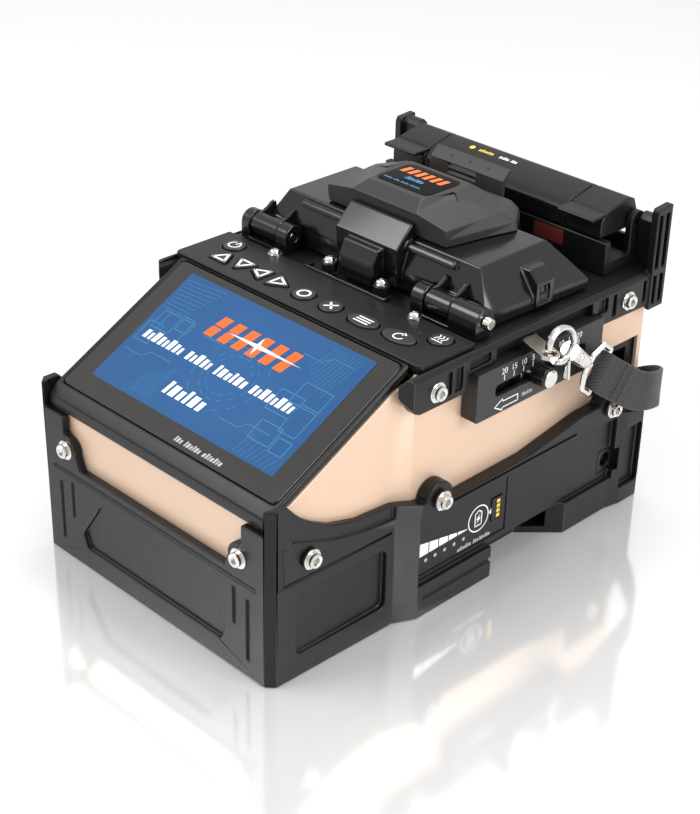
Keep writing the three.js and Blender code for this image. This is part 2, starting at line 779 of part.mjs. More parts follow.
function portPanel() {
  const out = HALF_WIDTH - SHELL_REAR_INSET - SHELL_THICK - GAP;
  const [y0, y1] = PORT_WINDOW.y;
  const [z0, z1] = PORT_WINDOW.z;
  const plate = box([out - 2.4, out], [y0 - 2, LENGTH - SHELL_THICK - GAP], [z0 - 2, z1 + 2]);
  const shell = box([out - 9, out - 2], [y0 + 1, y1 - 3], [z0 + 1, z1 - 1]);
  const socket = (y, z) => box([out - 7, out + 1], y, z);
  const middle = (y0 + y1) / 2;
  return cut(
    join(plate, shell),
    socket([y0 + 4, middle - 2], [z0 + 9, z0 + 14]),
    socket([middle + 1.5, y1 - 4.5], [z0 + 3.5, z1 - 4]),
  );
}
add("port_panel", portPanel(), BLACK);

// ---------- wind cover ----------
const COVER_BOTTOM = PLATE_TOP + 0.7;
const SHOULDER = DECK_TOP + 4; // top of the upright skirt

// A ring across the cover: half its width at the skirt, the skirt's top, and half the width and
// height of the roof.
function coverRing(y, foot, shoulder, roof, height, low) {
  return [
    [-foot, y, low],
    [-foot, y, shoulder],
    [-roof, y, height],
    [roof, y, height],
    [foot, y, shoulder],
    [foot, y, low],
  ];
}

function coverBlock(inset) {
  const low = COVER_BOTTOM - Math.min(inset, 1);
  const foot = COVER_HALF - inset;
  const shoulder = SHOULDER - inset * 0.5;
  const roof = COVER_TOP_HALF - inset * 0.7;
  const top = COVER_TOP - inset;
  return loft([
    coverRing(COVER_FRONT + inset, foot - 3, shoulder - 0.3, foot - 5, shoulder + 2.2, low),
    coverRing(COVER_FRONT + 4.2 + inset * 0.6, foot - 2, shoulder, roof, top, low),
    coverRing(143.5 - inset * 0.6, foot - 0.4, shoulder - 0.8, roof, top, low),
    coverRing(COVER_REAR - inset, foot, shoulder - 1.8, foot - 2, shoulder - 0.6, low),
  ]);
}

// The raised seat of the hood, carried back over the cover's rear slope.
function hoodSeat(inset) {
  const half = HOOD_NOSE - 1 - inset;
  return profile(
    [
      [140, SHOULDER],
      [COVER_REAR - 1 - inset * 1.4, SHOULDER],
      [HOOD_REAR - 0.5 - inset, COVER_TOP - inset],
      [140, COVER_TOP - inset],
    ],
    [-half, half],
  );
}

// The hinges are not alike: the right one reaches further in. Lengths along x of the outer
// knuckle, the turning barrel and the inner knuckle.
function hingeBarrel(side, outer, turning, inner) {
  const end = HALF_WIDTH - 6.7;
  const middle = end - outer - GAP;
  const last = middle - turning - GAP;
  return {
    side,
    outer: [end - outer, end],
    turning: [middle - turning, middle],
    inner: [last - inner, last],
  };
}
const BARRELS = [hingeBarrel(-1, 4.3, 13.9, 5.5), hingeBarrel(1, 13, 11.6, 5.6)];

function barrelSpan({ side }, [a, b]) {
  return side > 0 ? [a, b] : [-b, -a];
}

const CENTRE_HALF = 15.2;
// Motor housing in the middle of the cover's front, with a sloping face.
function centreHousing(inset) {
  const front = COVER_FRONT - 3.2 + inset;
  const rear = HOOD_FRONT + 0.8 - GAP;
  return profile(
    [
      [front + 1.2, COVER_BOTTOM + 1 - inset * 2],
      [rear, COVER_BOTTOM + 1 - inset * 2],
      [rear, COVER_TOP + 5.4 - inset],
      [front + 7.4 - inset * 0.5, COVER_TOP + 5.4 - inset],
      [front, COVER_TOP - 2.4],
    ],
    [inset - CENTRE_HALF, CENTRE_HALF - inset],
  );
}

function centreBlock() {
  return profile(
    [
      [HINGE[0] - 3, COVER_BOTTOM + 1],
      [COVER_FRONT, COVER_BOTTOM + 1],
      [COVER_FRONT, COVER_BOTTOM + 14.5],
      [HINGE[0] - 0.5, COVER_BOTTOM + 14.5],
      [HINGE[0] - 3, COVER_BOTTOM + 9.5],
    ],
    [-8.4, 8.4],
  );
}

function sideLatch() {
  const top = SHOULDER + 5;
  const face = COVER_HALF + 0.3;
  const body = elevation(
    [
      [COVER_TOP_HALF, COVER_BOTTOM + 1],
      [face, COVER_BOTTOM + 1],
      [face, top],
      [face - 4, top + 3.8],
      [COVER_TOP_HALF, top + 3.8],
    ],
    [126.8, 136],
  );
  const recess = box([face - 1.6, face + 1], [128.8, 134], [SHOULDER - 3.4, top - 2]);
  return cut(body, coverBlock(COVER_WALL), recess);
}

function windCover() {
  const [y, z] = HINGE;
  const hollow = join(coverBlock(COVER_WALL), hoodSeat(COVER_WALL), centreHousing(COVER_WALL));
  const ledge = bothSides(
    profile(
      [
        [COVER_FRONT + 1, COVER_TOP - 3.4],
        [COVER_FRONT + 3.4, COVER_TOP - 3.4],
        [COVER_FRONT + 3.4, COVER_TOP - 0.6],
        [COVER_FRONT + 2.4, COVER_TOP - 0.6],
        [COVER_FRONT + 1, COVER_TOP - 2],
      ],
      [CENTRE_HALF - 1, 38],
    ),
  );
  const skin = join(coverBlock(0), hoodSeat(0), centreHousing(0), ledge, centreBlock());
  let body = cut(skin, hollow);
  for (const barrel of BARRELS) {
    const span = barrelSpan(barrel, barrel.turning);
    const round = bar([span[0], y, z], [span[1], y, z], BARREL, 24);
    const arm = box(span, [y, COVER_FRONT + 1.6], [z - 3.4, z + 2.4]);
    body = join(body, round, arm);
  }
  for (const barrel of BARRELS) {
    const span = barrelSpan(barrel, barrel.turning);
    body = cut(body, bar([span[0] - 1, y, z], [span[1] + 1, y, z], HINGE_PIN + GAP, 16));
  }
  const skylight = box(
    [4 - HOOD_NOSE, HOOD_NOSE - 4],
    [HOOD_FRONT + 13, HOOD_REAR - 6],
    [COVER_TOP - 4, COVER_TOP + 1],
  );
  return join(cut(body, skylight), bothSides(sideLatch()));
}
add("wind_cover", windCover(), GLOSS);

// ---------- hood on the cover ----------
const HOOD_BOTTOM = COVER_TOP + GAP;

// A level ring of the hood: half widths at the front edge, behind it, at the lobes and at the rear.
function hoodRing(z, [front, rear], [nose, waist, lobe, tail]) {
  const right = [
    [nose, front],
    [waist, front + 15],
    [lobe, rear - 11],
    [tail, rear],
  ];
  const left = right.map(([x, y]) => [-x, y]).reverse();
  return [...right, ...left].map(([x, y]) => [x, y, z]);
}

function hoodBlock(inset) {
  const ring = (z, front, rear, widths) =>
    hoodRing(z, [front + inset, rear - inset], widths.map((width) => width - inset));
  const lobes = HOOD_HALF - 4;
  const edge = HOOD_BOTTOM + 6.4 - inset * 0.6;
  const ridge = HOOD_BOTTOM + 9 - inset;
  return loft([
    ring(HOOD_BOTTOM - inset, HOOD_FRONT + 1.4, HOOD_REAR, [HOOD_NOSE - 0.5, lobes, HOOD_HALF, 28]),
    ring(HOOD_BOTTOM + 3, HOOD_FRONT + 1, HOOD_REAR, [HOOD_NOSE, lobes, HOOD_HALF - 1, 27]),
    ring(edge, HOOD_FRONT + 0.8, HOOD_REAR - 3.2, [HOOD_NOSE, HOOD_NOSE + 1, lobes, 26]),
    ring(ridge, HOOD_FRONT, HOOD_REAR - 9, [16, 23, 26, 20]),
    ring(HOOD_TOP - inset, HOOD_FRONT + 5.6, HOOD_REAR - 13, [13, 16, 17, 14.5]),
  ]);
}
add("cover_hood", cut(hoodBlock(0), hoodBlock(2)), GREY);

const HANDLE_HALF = 18;
// An upright plate behind the hood, its top folded back.
function coverHandle() {
  const top = HOOD_TOP + 1.6;
  const face = HOOD_REAR + GAP;
  const body = profile(
    [
      [face, HOOD_BOTTOM + 1],
      [face + 1.8, HOOD_BOTTOM + 1],
      [face + 2.4, top - 4.2],
      [face + 5.6, top - 1],
      [face + 4.6, top],
      [face + 0.7, top - 3.8],
    ],
    [-HANDLE_HALF, HANDLE_HALF],
  );
  const slot = (z) => box([-8.8, 4.7], [face - 2, face + 6], [z, z + 1.1]);
  return cut(body, slot(top - 5.4), slot(top - 7.6));
}
add("cover_handle", coverHandle(), GREY);

// ---------- cover hinges ----------
for (const barrel of BARRELS) {
  const [y, z] = HINGE;
  const which = barrel.side > 0 ? "right" : "left";
  const outer = barrelSpan(barrel, barrel.outer);
  const inner = barrelSpan(barrel, barrel.inner);
  const base = PLATE_TOP + GAP;
  const knuckle = (span) =>
    join(
      bar([span[0], y, z], [span[1], y, z], BARREL + 0.4, 24),
      box(span, [y - BARREL - 0.4, y + BARREL - 1.4], [base, z]),
    );
  const foot = box(
    [Math.min(...outer, ...inner), Math.max(...outer, ...inner)],
    [y - BARREL - 0.4, y + BARREL - 1.4],
    [base, z - BARREL - SLIDE_GAP],
  );
  const bore = bar([outer[0] - 40, y, z], [outer[1] + 40, y, z], HINGE_PIN + GAP, 16);
  add("hinge_bracket_" + which, cut(join(knuckle(outer), knuckle(inner), foot), bore), GLOSS);
  const head = barrel.side * (HALF_WIDTH - 6.4);
  const end = barrel.side * (Math.min(...barrel.inner) + 0.5);
  const pin = join(
    bar([end, y, z], [head + barrel.side * 0.5, y, z], HINGE_PIN, 14),
    bar([head, y, z], [head + barrel.side * 2.4, y, z], HINGE_PIN + 0.8, 16, HINGE_PIN + 0.3),
  );
  add("hinge_pin_" + which, pin, CHROME);
}

// ---------- tube heater ----------
function heaterBody() {
  const base = PLATE_TOP + GAP;
  const front = HEATER_FRONT;
  const wallTop = DECK_TOP + 10.6;
  const trough = profile(
    [
      [front, base],
      [LENGTH, base],
      [LENGTH, DECK_TOP + 7],
      [HEATER_AXIS[0] + 1, DECK_TOP + 7],
      [HEATER_AXIS[0] - 4, base + 4.6],
      [front + 3, base + 4.6],
      [front + 3, wallTop],
      [front, wallTop],
    ],
    [-HEATER_HALF, HEATER_HALF],
  );
  const lug = join(
    bar([LID_HALF + CLAMP_WIDTH + 1, ...HEATER_AXIS], [HEATER_HALF, ...HEATER_AXIS], 4.2, 20),
    box(
      [LID_HALF + CLAMP_WIDTH + 1, HEATER_HALF],
      [HEATER_AXIS[0] - 4.2, HEATER_AXIS[0] + 4.2],
      [base + 2, HEATER_AXIS[1]],
    ),
  );
  const past = HEATER_HALF + 1;
  const bore = bar([-past, ...HEATER_AXIS], [past, ...HEATER_AXIS], HEATER_PIN + GAP, 14);
  return cut(join(trough, bothSides(lug)), bore);
}

const LID_LOW = DECK_TOP + 11.2;
function lidProfile() {
  const front = HEATER_FRONT + 0.6;
  const rear = HEATER_AXIS[0] + 3.2;
  return [
    [front, LID_LOW],
    [rear, LID_LOW],
    [rear, LID_LOW + 6],
    [rear - 2, POST_TOP - 0.8],
    [rear - 6, POST_TOP + 0.4],
    [front + 3.6, POST_TOP - 2],
    [front, LID_LOW + 6.4],
  ];
}

function heaterCover(span) {
  const body = profile(lidProfile(), span);
  const front = HEATER_FRONT + 2.4;
  const hollow = profile(
    [
      [front, LID_LOW - 1],
      [HEATER_AXIS[0] - 4, LID_LOW - 1],
      [HEATER_AXIS[0] - 4, LID_LOW + 5],
      [front, LID_LOW + 5],
    ],
    [span[0] + 1.6, span[1] - 1.6],
  );
  const bore = bar([span[0] - 1, ...HEATER_AXIS], [span[1] + 1, ...HEATER_AXIS], HEATER_PIN + GAP, 14);
  return cut(body, hollow, bore);
}

function heaterClamp() {
  const span = [LID_HALF + GAP, LID_HALF + GAP + CLAMP_WIDTH];
  const tab = box(span, [HEATER_FRONT - 4.8, HEATER_FRONT + 5], [LID_LOW + 7.6, LID_LOW + 9]);
  return join(heaterCover(span), tab);
}

add("heater_body", heaterBody(), BLACK);
add("heater_lid", heaterCover([-LID_HALF, LID_HALF]), GREY);
add("heater_clamp_right", heaterClamp(), GREY);
add("heater_clamp_left", mirrored(heaterClamp()), GREY);
add(
  "heater_pin",
  bar([0.5 - HEATER_HALF, ...HEATER_AXIS], [HEATER_HALF - 0.5, ...HEATER_AXIS], HEATER_PIN, 12),
  CHROME,
);
function heaterPlate() {
  const base = PLATE_TOP + GAP + 4.6 + GAP;
  const front = HEATER_FRONT + 3 + GAP;
  const rear = HEATER_AXIS[0] - 4 - GAP;
  const block = box([-32, 32], [front, rear], [base, base + 5]);
  const middle = (front + rear) / 2;
  const groove = profile(
    [
      [middle, base + 1.6],
      [middle + 3.4, base + 6],
      [middle - 3.4, base + 6],
    ],
    [-33, 33],
  );
  return cut(block, groove);
}
add("heater_plate", heaterPlate(), ALUMINIUM);

// ---------- battery ----------
function batteryPack() {
  const { y, z, wide, tall, deep } = BATTERY;
  const face = HALF_WIDTH - 2.2;
  const body = profile(
    corners([y - wide / 2, y + wide / 2], [z - tall / 2, z + tall / 2]),
    [face - deep, face],
    1,
  );
  return cut(body, box([face - 2.6, face + 1], ...latchSpan(KEY_GAP)));
}
function latchSpan(grow) {
  const y = BATTERY.y + BATTERY.wide / 2 - 5;
  return [
    [y - 2.6 - grow, y + 2.6 + grow],
    [BATTERY.z - 4.5 - grow, BATTERY.z + 4.5 + grow],
  ];
}
add("battery_pack", batteryPack(), BLACK);
add("battery_latch", box([HALF_WIDTH - 3.6, HALF_WIDTH - 1.9], ...latchSpan(0)), BLACK);

// ---------- charging socket ----------
function dcJack() {
  const face = HALF_WIDTH - 2.2;
  const { y, z, wide, tall } = JACK;
  const body = box([face - 11, face], [y - wide / 2, y + wide / 2], [z - tall / 2, z + tall / 2]);
  const bore = bar([face - 9, y, z], [face + 1, y, z], 2.9, 18);
  const contact = bar([face - 10, y, z], [face - 1.4, y, z], 1.05, 10);
  return join(cut(body, bore), contact);
}
add("dc_jack", dcJack(), BLACK);

// ---------- fibre adjuster: scale plate, slider and knob ----------
const PLATE_OUT = HALF_WIDTH + 1.6;
const SLOT_HALF = 2.3;
function scalePlate() {
  const { y, z, plateLong, plateTall, travel } = ADJUSTER;
  const inner = HALF_WIDTH - SHELL_REAR_INSET + GAP;
  const [y0, y1] = [y - plateLong / 2, y + plateLong / 2];
  const [z0, z1] = [z - plateTall / 2, z + plateTall / 2];
  const body = profile(corners([y0, y1], [z0, z1]), [inner, PLATE_OUT], 1);
  const hollow = box([inner - 1, PLATE_OUT - 2], [y0 + 1.6, y1 - 1.6], [z0 + 1.6, z1 - 1.6]);
  const ends = travel + 2;
  const slot = profile(
    corners([y - ends - SLOT_HALF, y + ends + SLOT_HALF], [z - SLOT_HALF, z + SLOT_HALF]),
    [PLATE_OUT - 3, PLATE_OUT + 1],
    SLOT_HALF * 0.9,
  );
  return cut(body, hollow, slot);
}
add("scale_plate", scalePlate(), ANODISED);

const STUD_RADIUS = SLOT_HALF - SLIDE_GAP;
const KNOB_INNER = PLATE_OUT + GAP;
const KNOB_OUTER = PLATE_OUT + 6;
const KNOB_Y = ADJUSTER.y + ADJUSTER.rest;
function adjusterSlider() {
  const [y, z] = [KNOB_Y, ADJUSTER.z];
  const inner = HALF_WIDTH - SHELL_REAR_INSET + GAP + SLIDE_GAP;
  const carriage = box([inner, PLATE_OUT - 2 - SLIDE_GAP], [y - 5, y + 5], [z - 5, z + 5]);
  return join(carriage, bar([inner + 1, y, z], [KNOB_OUTER - 3, y, z], STUD_RADIUS, 16));
}
add("adjuster_slider", adjusterSlider(), STEEL);

function adjusterKnob() {
  const [y, z] = [KNOB_Y, ADJUSTER.z];
  const teeth = 18;
  const ring = Array.from({ length: teeth * 2 }, (_, i) => {
    const turn = (i / (teeth * 2)) * 2 * Math.PI;
    const radius = i % 2 ? KNOB_RADIUS : KNOB_RADIUS - 0.35;
    return [y + radius * Math.cos(turn), z + radius * Math.sin(turn)];
  });
  const body = profile(ring, [KNOB_INNER, KNOB_OUTER]);
  const bore = bar([KNOB_INNER - 1, y, z], [KNOB_OUTER - 2.4, y, z], STUD_RADIUS + GAP, 16);
  const rim = KNOB_RADIUS - 0.3;
  const cap = bar([KNOB_OUTER - 0.4, y, z], [KNOB_OUTER + 0.8, y, z], rim, 24, rim - 0.5);
  return cut(join(body, cap), bore);
}
add("adjuster_knob", adjusterKnob(), CHROME);

// ---------- strap brackets, snap hooks and swivels ----------
// A point in the hook's plane: distance along the hook from the middle of its claw, and to its left.
function hookPoint(along, aside, x = HOOK_PLANE) {
  const y = HOOK_RING[0] + along * HOOK_DIRECTION.x - aside * HOOK_DIRECTION.y;
  const z = HOOK_RING[1] + along * HOOK_DIRECTION.y + aside * HOOK_DIRECTION.x;
  return [x, y, z];
}

const CLAW = { along: 7.2, aside: 6.2, wire: 1.3, hangsAt: THREE.MathUtils.degToRad(-125) };
function strapBracket() {
  const hole = CLAW.wire + 1.2;
  const rim = hole + 1.4;
  const [x, y, z] = hookPoint(
    CLAW.along * Math.cos(CLAW.hangsAt),
    CLAW.aside * Math.sin(CLAW.hangsAt),
  );
  const plate = plan(
    [
      [RAIL_OUTER - 2.6, y + 2],
      [x, y - rim],
      [x + rim * 0.7, y - rim * 0.7],
      [x + rim, y],
      [x + rim * 0.7, y + rim * 0.7],
      [x, y + rim],
      [RAIL_OUTER - 2.6, y + 9],
    ],
    [z - 0.7, z + 0.7],
  );
  return cut(plate, bar([x, y, z - 2], [x, y, z + 2], hole, 16));
}

function claw() {
  const ring = new THREE.TorusGeometry(1, CLAW.wire / CLAW.along, 10, 28);
  const flat = new THREE.Matrix4().makeScale(CLAW.along, CLAW.aside, CLAW.along);
  const along = new THREE.Vector3(0, HOOK_DIRECTION.x, HOOK_DIRECTION.y);
  const aside = new THREE.Vector3(0, -HOOK_DIRECTION.y, HOOK_DIRECTION.x);
  const turn = new THREE.Matrix4().makeBasis(along, aside, along.clone().cross(aside));
  const [x, y, z] = hookPoint(0, 0);
  return solid(ring.applyMatrix4(flat).applyMatrix4(turn).translate(x, y, z));
}

const GATE_ALONG = [0.5, 6];
const GATE_GAP = 0.7; // the gate swings past the hook with this much room
const LOOP_NEAR = 21.4;
const LOOP_BAR = 29.6;
function gateZone(grow) {
  const [from, to] = [GATE_ALONG[0] - grow, GATE_ALONG[1] + grow];
  const corner = (along, aside) => hookPoint(along, aside).slice(1);
  const zone = [corner(from, -1.5), corner(from, -9), corner(to, -9), corner(to, -1.5)];
  return profile(zone.reverse(), [HOOK_PLANE - 4, HOOK_PLANE + 4]);
}

function snapHook() {
  const body = join(
    claw(),
    bar(hookPoint(6.2, 0), hookPoint(18, 0), 3.6, 16, 2.5),
    ball(hookPoint(18, 0), 2.5, 16),
  );
  const neck = bar(hookPoint(16, 0), hookPoint(LOOP_NEAR + 0.6, 0), 1.3, 12);
  const space = bar(hookPoint(12, 0), hookPoint(24, 0), 1.3 + GAP, 12);
  return { body: cut(body, gateZone(GATE_GAP), space), neck };
}

function swivel(neck) {
  const half = STRAP_WIDE / 2 + 1.2;
  const wire = 1.05;
  const points = [
    hookPoint(LOOP_NEAR, 0),
    hookPoint(LOOP_NEAR, -3.4),
    hookPoint(LOOP_NEAR + 3, -half),
    hookPoint(LOOP_BAR, -half),
    hookPoint(LOOP_BAR, half),
    hookPoint(LOOP_NEAR + 3, half),
    hookPoint(LOOP_NEAR, 3.4),
  ];
  const legs = points.map((point, i) => bar(point, points[(i + 1) % points.length], wire, 10));
  const joints = points.map((point) => ball(point, wire, 10));
  return join(neck, ...legs, ...joints);
}

// The left bracket has a foot of its own on the shell's side, under the rail.
function leftBracket() {
  const shellSide = HALF_WIDTH - SHELL_REAR_INSET + GAP;
  const foot = box([shellSide, RAIL_OUTER - 1.6], [112, 126], [RAIL_LOW - 9, RAIL_LOW - 1]);
  return join(strapBracket().translate([0, 0, -LEFT_DROP]), foot);
}

const hook = snapHook();
const gate = cut(claw().intersect(gateZone(0)), bar(hookPoint(9, 0), hookPoint(24, 0), 1, 8));
const ends = swivel(hook.neck);
for (const which of ["right", "left"]) {
  const right = which === "right";
  const place = (body) => (right ? body : mirrored(body.translate([0, 0, -LEFT_DROP])));
  add("strap_bracket_" + which, right ? strapBracket() : mirrored(leftBracket()), STEEL);
  add("snap_hook_" + which, place(hook.body), CHROME);
  add("snap_gate_" + which, place(gate), CHROME);
  add("swivel_" + which, place(ends), CHROME);
}

// ---------- strap: from the right swivel, round the back, to the left one ----------
function strapPath() {
  const start = hookPoint(LOOP_BAR + 2.5, 0, HOOK_PLANE);
  const onFloor = STRAP_WIDE / 2 + 1;
  const half = [
    start,
    [HOOK_PLANE + 0.6, start[1] + 8, start[2] - 5.6],
    [HOOK_PLANE + 0.8, LENGTH - 26, 59.5],
    [HOOK_PLANE + 0.4, LENGTH - 16, 55.5],
    [HOOK_PLANE - 3, LENGTH - 6, 52],
    [HOOK_PLANE - 10, LENGTH + 1.4, 47.5],
    [HOOK_PLANE - 20, LENGTH + 6, 41],
    [HOOK_PLANE - 38, LENGTH + 9, 29],
    [HOOK_PLANE - 58, LENGTH + 10, 15],
  ].map((point) => new THREE.Vector3(...point));
  // the left run starts lower and comes down to the same place
  const share = 1 - LEFT_DROP / (start[2] - onFloor);
  const lowered = (z) => onFloor + (z - onFloor) * share;
  const other = half.map((p) => new THREE.Vector3(-p.x, p.y, lowered(p.z))).reverse();
  const middle = new THREE.Vector3(0, LENGTH + 10.4, onFloor);
  return new THREE.CatmullRomCurve3([...half, middle, ...other]);
}

function strapSolid() {
  const path = strapPath();
  const steps = 64;
  const [alongY, alongZ] = [HOOK_DIRECTION.x, HOOK_DIRECTION.y];
  const rings = [];
  for (let i = 0; i <= steps; i += 1) {
    const share = i / steps;
    const point = path.getPointAt(share);
    const tangent = path.getTangentAt(share);
    // across the webbing: square to the hook at each end, upright along the back
    const fromEnd = Math.min(share, 1 - share) * steps;
    const upright = Math.min(fromEnd / 10, 1);
    const start = new THREE.Vector3(0, -alongZ, alongY);
    const across = start.lerp(AXIS_Z, upright);
    across.addScaledVector(tangent, -across.dot(tangent)).setLength(STRAP_WIDE / 2);
    const out = tangent.clone().cross(across).setLength(STRAP_THICK / 2);
    const corner = (a, b) => {
      const at = point.clone().addScaledVector(across, a).addScaledVector(out, b);
      return [at.x, at.y, at.z];
    };
    rings.push([corner(-1, -1), corner(1, -1), corner(1, 1), corner(-1, 1)]);
  }
  return loft(rings);
}
add("strap", strapSolid(), WEB);

// ---------- splicing unit under the cover ----------
const UNIT_BASE = PLATE_TOP + GAP;
const FIBRE_Z = UNIT_BASE + 8;

function grooveBlock() {
  const base = box([-9, 9], [SPLICE_Y - 9, SPLICE_Y + 9], [UNIT_BASE, UNIT_BASE + 3]);
  const jaw = box([4.4, 9], [SPLICE_Y - 5, SPLICE_Y + 5], [UNIT_BASE + 2, FIBRE_Z]);
  const vee = profile(
    [
      [SPLICE_Y, FIBRE_Z - 0.8],
      [SPLICE_Y + 1.6, FIBRE_Z + 1],
      [SPLICE_Y - 1.6, FIBRE_Z + 1],
    ],
    [0, 10],
  );
  const lens = bar([0, SPLICE_Y, UNIT_BASE - 1], [0, SPLICE_Y, UNIT_BASE + 4], 3.6, 16);
  const tower = (from, to) => box([-4, 4], [from, to], [UNIT_BASE, FIBRE_Z + 3]);
  const towers = [tower(SPLICE_Y - 16, SPLICE_Y - 11), tower(SPLICE_Y + 11, SPLICE_Y + 16)];
  const feet = box([-4, 4], [SPLICE_Y - 16, SPLICE_Y + 16], [UNIT_BASE, UNIT_BASE + 2]);
  const bore = bar([0, SPLICE_Y - 20, FIBRE_Z], [0, SPLICE_Y + 20, FIBRE_Z], 1.2 + GAP, 12);
  return cut(join(base, feet, bothSides(cut(jaw, vee)), ...towers), lens, bore);
}
add("groove_block", grooveBlock(), ALUMINIUM);

function electrode(side) {
  const at = (distance) => [0, SPLICE_Y + side * distance, FIBRE_Z];
  return join(bar(at(17.5), at(5), 1.2, 12), bar(at(5.1), at(1.6), 1.2, 12, 0.15));
}
add("electrode_front", electrode(-1), STEEL);
add("electrode_rear", electrode(1), STEEL);

add(
  "camera_barrel",
  join(
    bar([0, SPLICE_Y, UNIT_BASE - 34], [0, SPLICE_Y, UNIT_BASE - GAP], 5.8, 20),
    box([-9, 9], [SPLICE_Y - 9, SPLICE_Y + 9], [UNIT_BASE - 42, UNIT_BASE - 33]),
  ),
  ANODISED,
);

const STAGE = { near: 13, far: 32, deep: 20, tall: 5.6 };
const CLAMP_AXIS = [SPLICE_Y + 11.6, UNIT_BASE + STAGE.tall + 1.8];
function stage() {
  const block = box(
    [STAGE.near, STAGE.far],
    [SPLICE_Y - STAGE.deep / 2, SPLICE_Y + STAGE.deep / 2],
    [UNIT_BASE, UNIT_BASE + STAGE.tall],
  );
  const lugs = [STAGE.near + 1, STAGE.far - 4].map((x) =>
    box(
      [x, x + 3],
      [SPLICE_Y + STAGE.deep / 2 - 1, CLAMP_AXIS[0] + 1.8],
      [UNIT_BASE + 1, CLAMP_AXIS[1] + 1.6],
    ),
  );
  const pin = bar([STAGE.near + 1, ...CLAMP_AXIS], [STAGE.far - 1, ...CLAMP_AXIS], 0.8, 10);
  const groove = box(
    [STAGE.near - 1, STAGE.far + 1],
    [SPLICE_Y - 0.5, SPLICE_Y + 0.5],
    [UNIT_BASE + STAGE.tall - 0.8, CLAMP_AXIS[1] + 2],
  );
  return cut(join(block, ...lugs, pin), groove);
}

function fibreClamp() {
  const low = UNIT_BASE + STAGE.tall + GAP;
  const span = [STAGE.near + 4.6, STAGE.far - 4.6];
  const body = join(
    box(span, [SPLICE_Y - 3.5, SPLICE_Y + 9], [low, low + 3]),
    box(span, [SPLICE_Y + 8, CLAMP_AXIS[0]], [CLAMP_AXIS[1] - 1.2, CLAMP_AXIS[1] + 1.2]),
    bar([span[0], ...CLAMP_AXIS], [span[1], ...CLAMP_AXIS], 1.6, 14),
  );
  return cut(body, bar([span[0] - 1, ...CLAMP_AXIS], [span[1] + 1, ...CLAMP_AXIS], 0.8 + GAP, 10));
}

for (const which of ["right", "left"]) {
  const place = which === "right" ? (body) => body : mirrored;
  add("stage_" + which, place(stage()), ALUMINIUM);
  add("fibre_clamp_" + which, place(fibreClamp()), ANODISED);
}

// ---------- boards ----------
function mainBoard() {
  const rest = BOARD_REST + GAP;
  const half = HALF_WIDTH - 13;
  const board = box([-half, half], [50, LENGTH - 22], [rest, rest + 1.6]);
  const chips = box([-14, 14], [80, 106], [rest + 1, rest + 3.4]);
  return join(board, chips);
}
add("main_board", mainBoard(), BOARD);

function powerBoard() {
  const y = [118, LENGTH - 40];
  const board = box([-44, 44], y, [FLOOR + GAP, FLOOR + GAP + 1.6]);
  const transformer = box([-12, 12], [y[0] + 6, y[0] + 26], [FLOOR + 1, FLOOR + 18]);
  return join(board, transformer);
}
add("power_board", powerBoard(), BOARD);

export default assembly;
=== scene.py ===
import json
import math

import bmesh
import bpy
from mathutils import Matrix, Vector


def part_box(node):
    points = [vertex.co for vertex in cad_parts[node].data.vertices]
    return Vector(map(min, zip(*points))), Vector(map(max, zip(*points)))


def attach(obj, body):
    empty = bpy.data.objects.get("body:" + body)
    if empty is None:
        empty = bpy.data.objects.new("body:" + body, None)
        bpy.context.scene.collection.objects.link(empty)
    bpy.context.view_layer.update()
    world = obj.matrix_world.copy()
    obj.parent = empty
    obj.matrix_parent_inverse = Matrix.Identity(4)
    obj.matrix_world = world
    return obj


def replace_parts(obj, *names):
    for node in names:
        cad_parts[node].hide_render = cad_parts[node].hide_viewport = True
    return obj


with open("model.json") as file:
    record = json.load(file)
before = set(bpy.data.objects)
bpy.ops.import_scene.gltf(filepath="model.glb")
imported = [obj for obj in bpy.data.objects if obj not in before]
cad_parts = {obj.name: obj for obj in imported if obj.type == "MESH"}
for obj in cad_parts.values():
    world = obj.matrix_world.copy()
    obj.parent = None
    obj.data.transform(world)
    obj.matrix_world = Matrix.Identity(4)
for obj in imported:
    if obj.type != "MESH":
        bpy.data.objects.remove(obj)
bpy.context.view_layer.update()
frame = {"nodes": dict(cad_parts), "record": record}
NODES = frame["nodes"]
BODY_OF = {
    node: body for body, nodes in frame["record"]["behaviour"]["bodies"].items() for node in nodes
}
SLOT_OF = {row["node"]: row["material_slot"] for row in frame["record"]["subparts"]}

UNIT = 0.001
FRONT = 95  # the frame's origin lies this far behind the base's front face


def mm(x, y, z):
    return Vector((x, y - FRONT, z)) * UNIT


# ---------- camera ----------
def make_camera():
    data = bpy.data.cameras.new("camera")
    data.sensor_width = 36
    data.lens = 76.69
    data.clip_start = 0.01
    camera = bpy.data.objects.new("camera", data)
    right = Vector((0.70197, 0.71191, 0.02120))
    up = Vector((-0.36137, 0.33036, 0.87197))
    back = Vector((0.61375, -0.61974, 0.48915))
    turn = Matrix((right, up, back)).transposed().to_4x4()
    camera.matrix_world = Matrix.Translation((0.395085, -0.398351, 0.360680)) @ turn
    bpy.context.scene.collection.objects.link(camera)
    bpy.context.scene.camera = camera


make_camera()


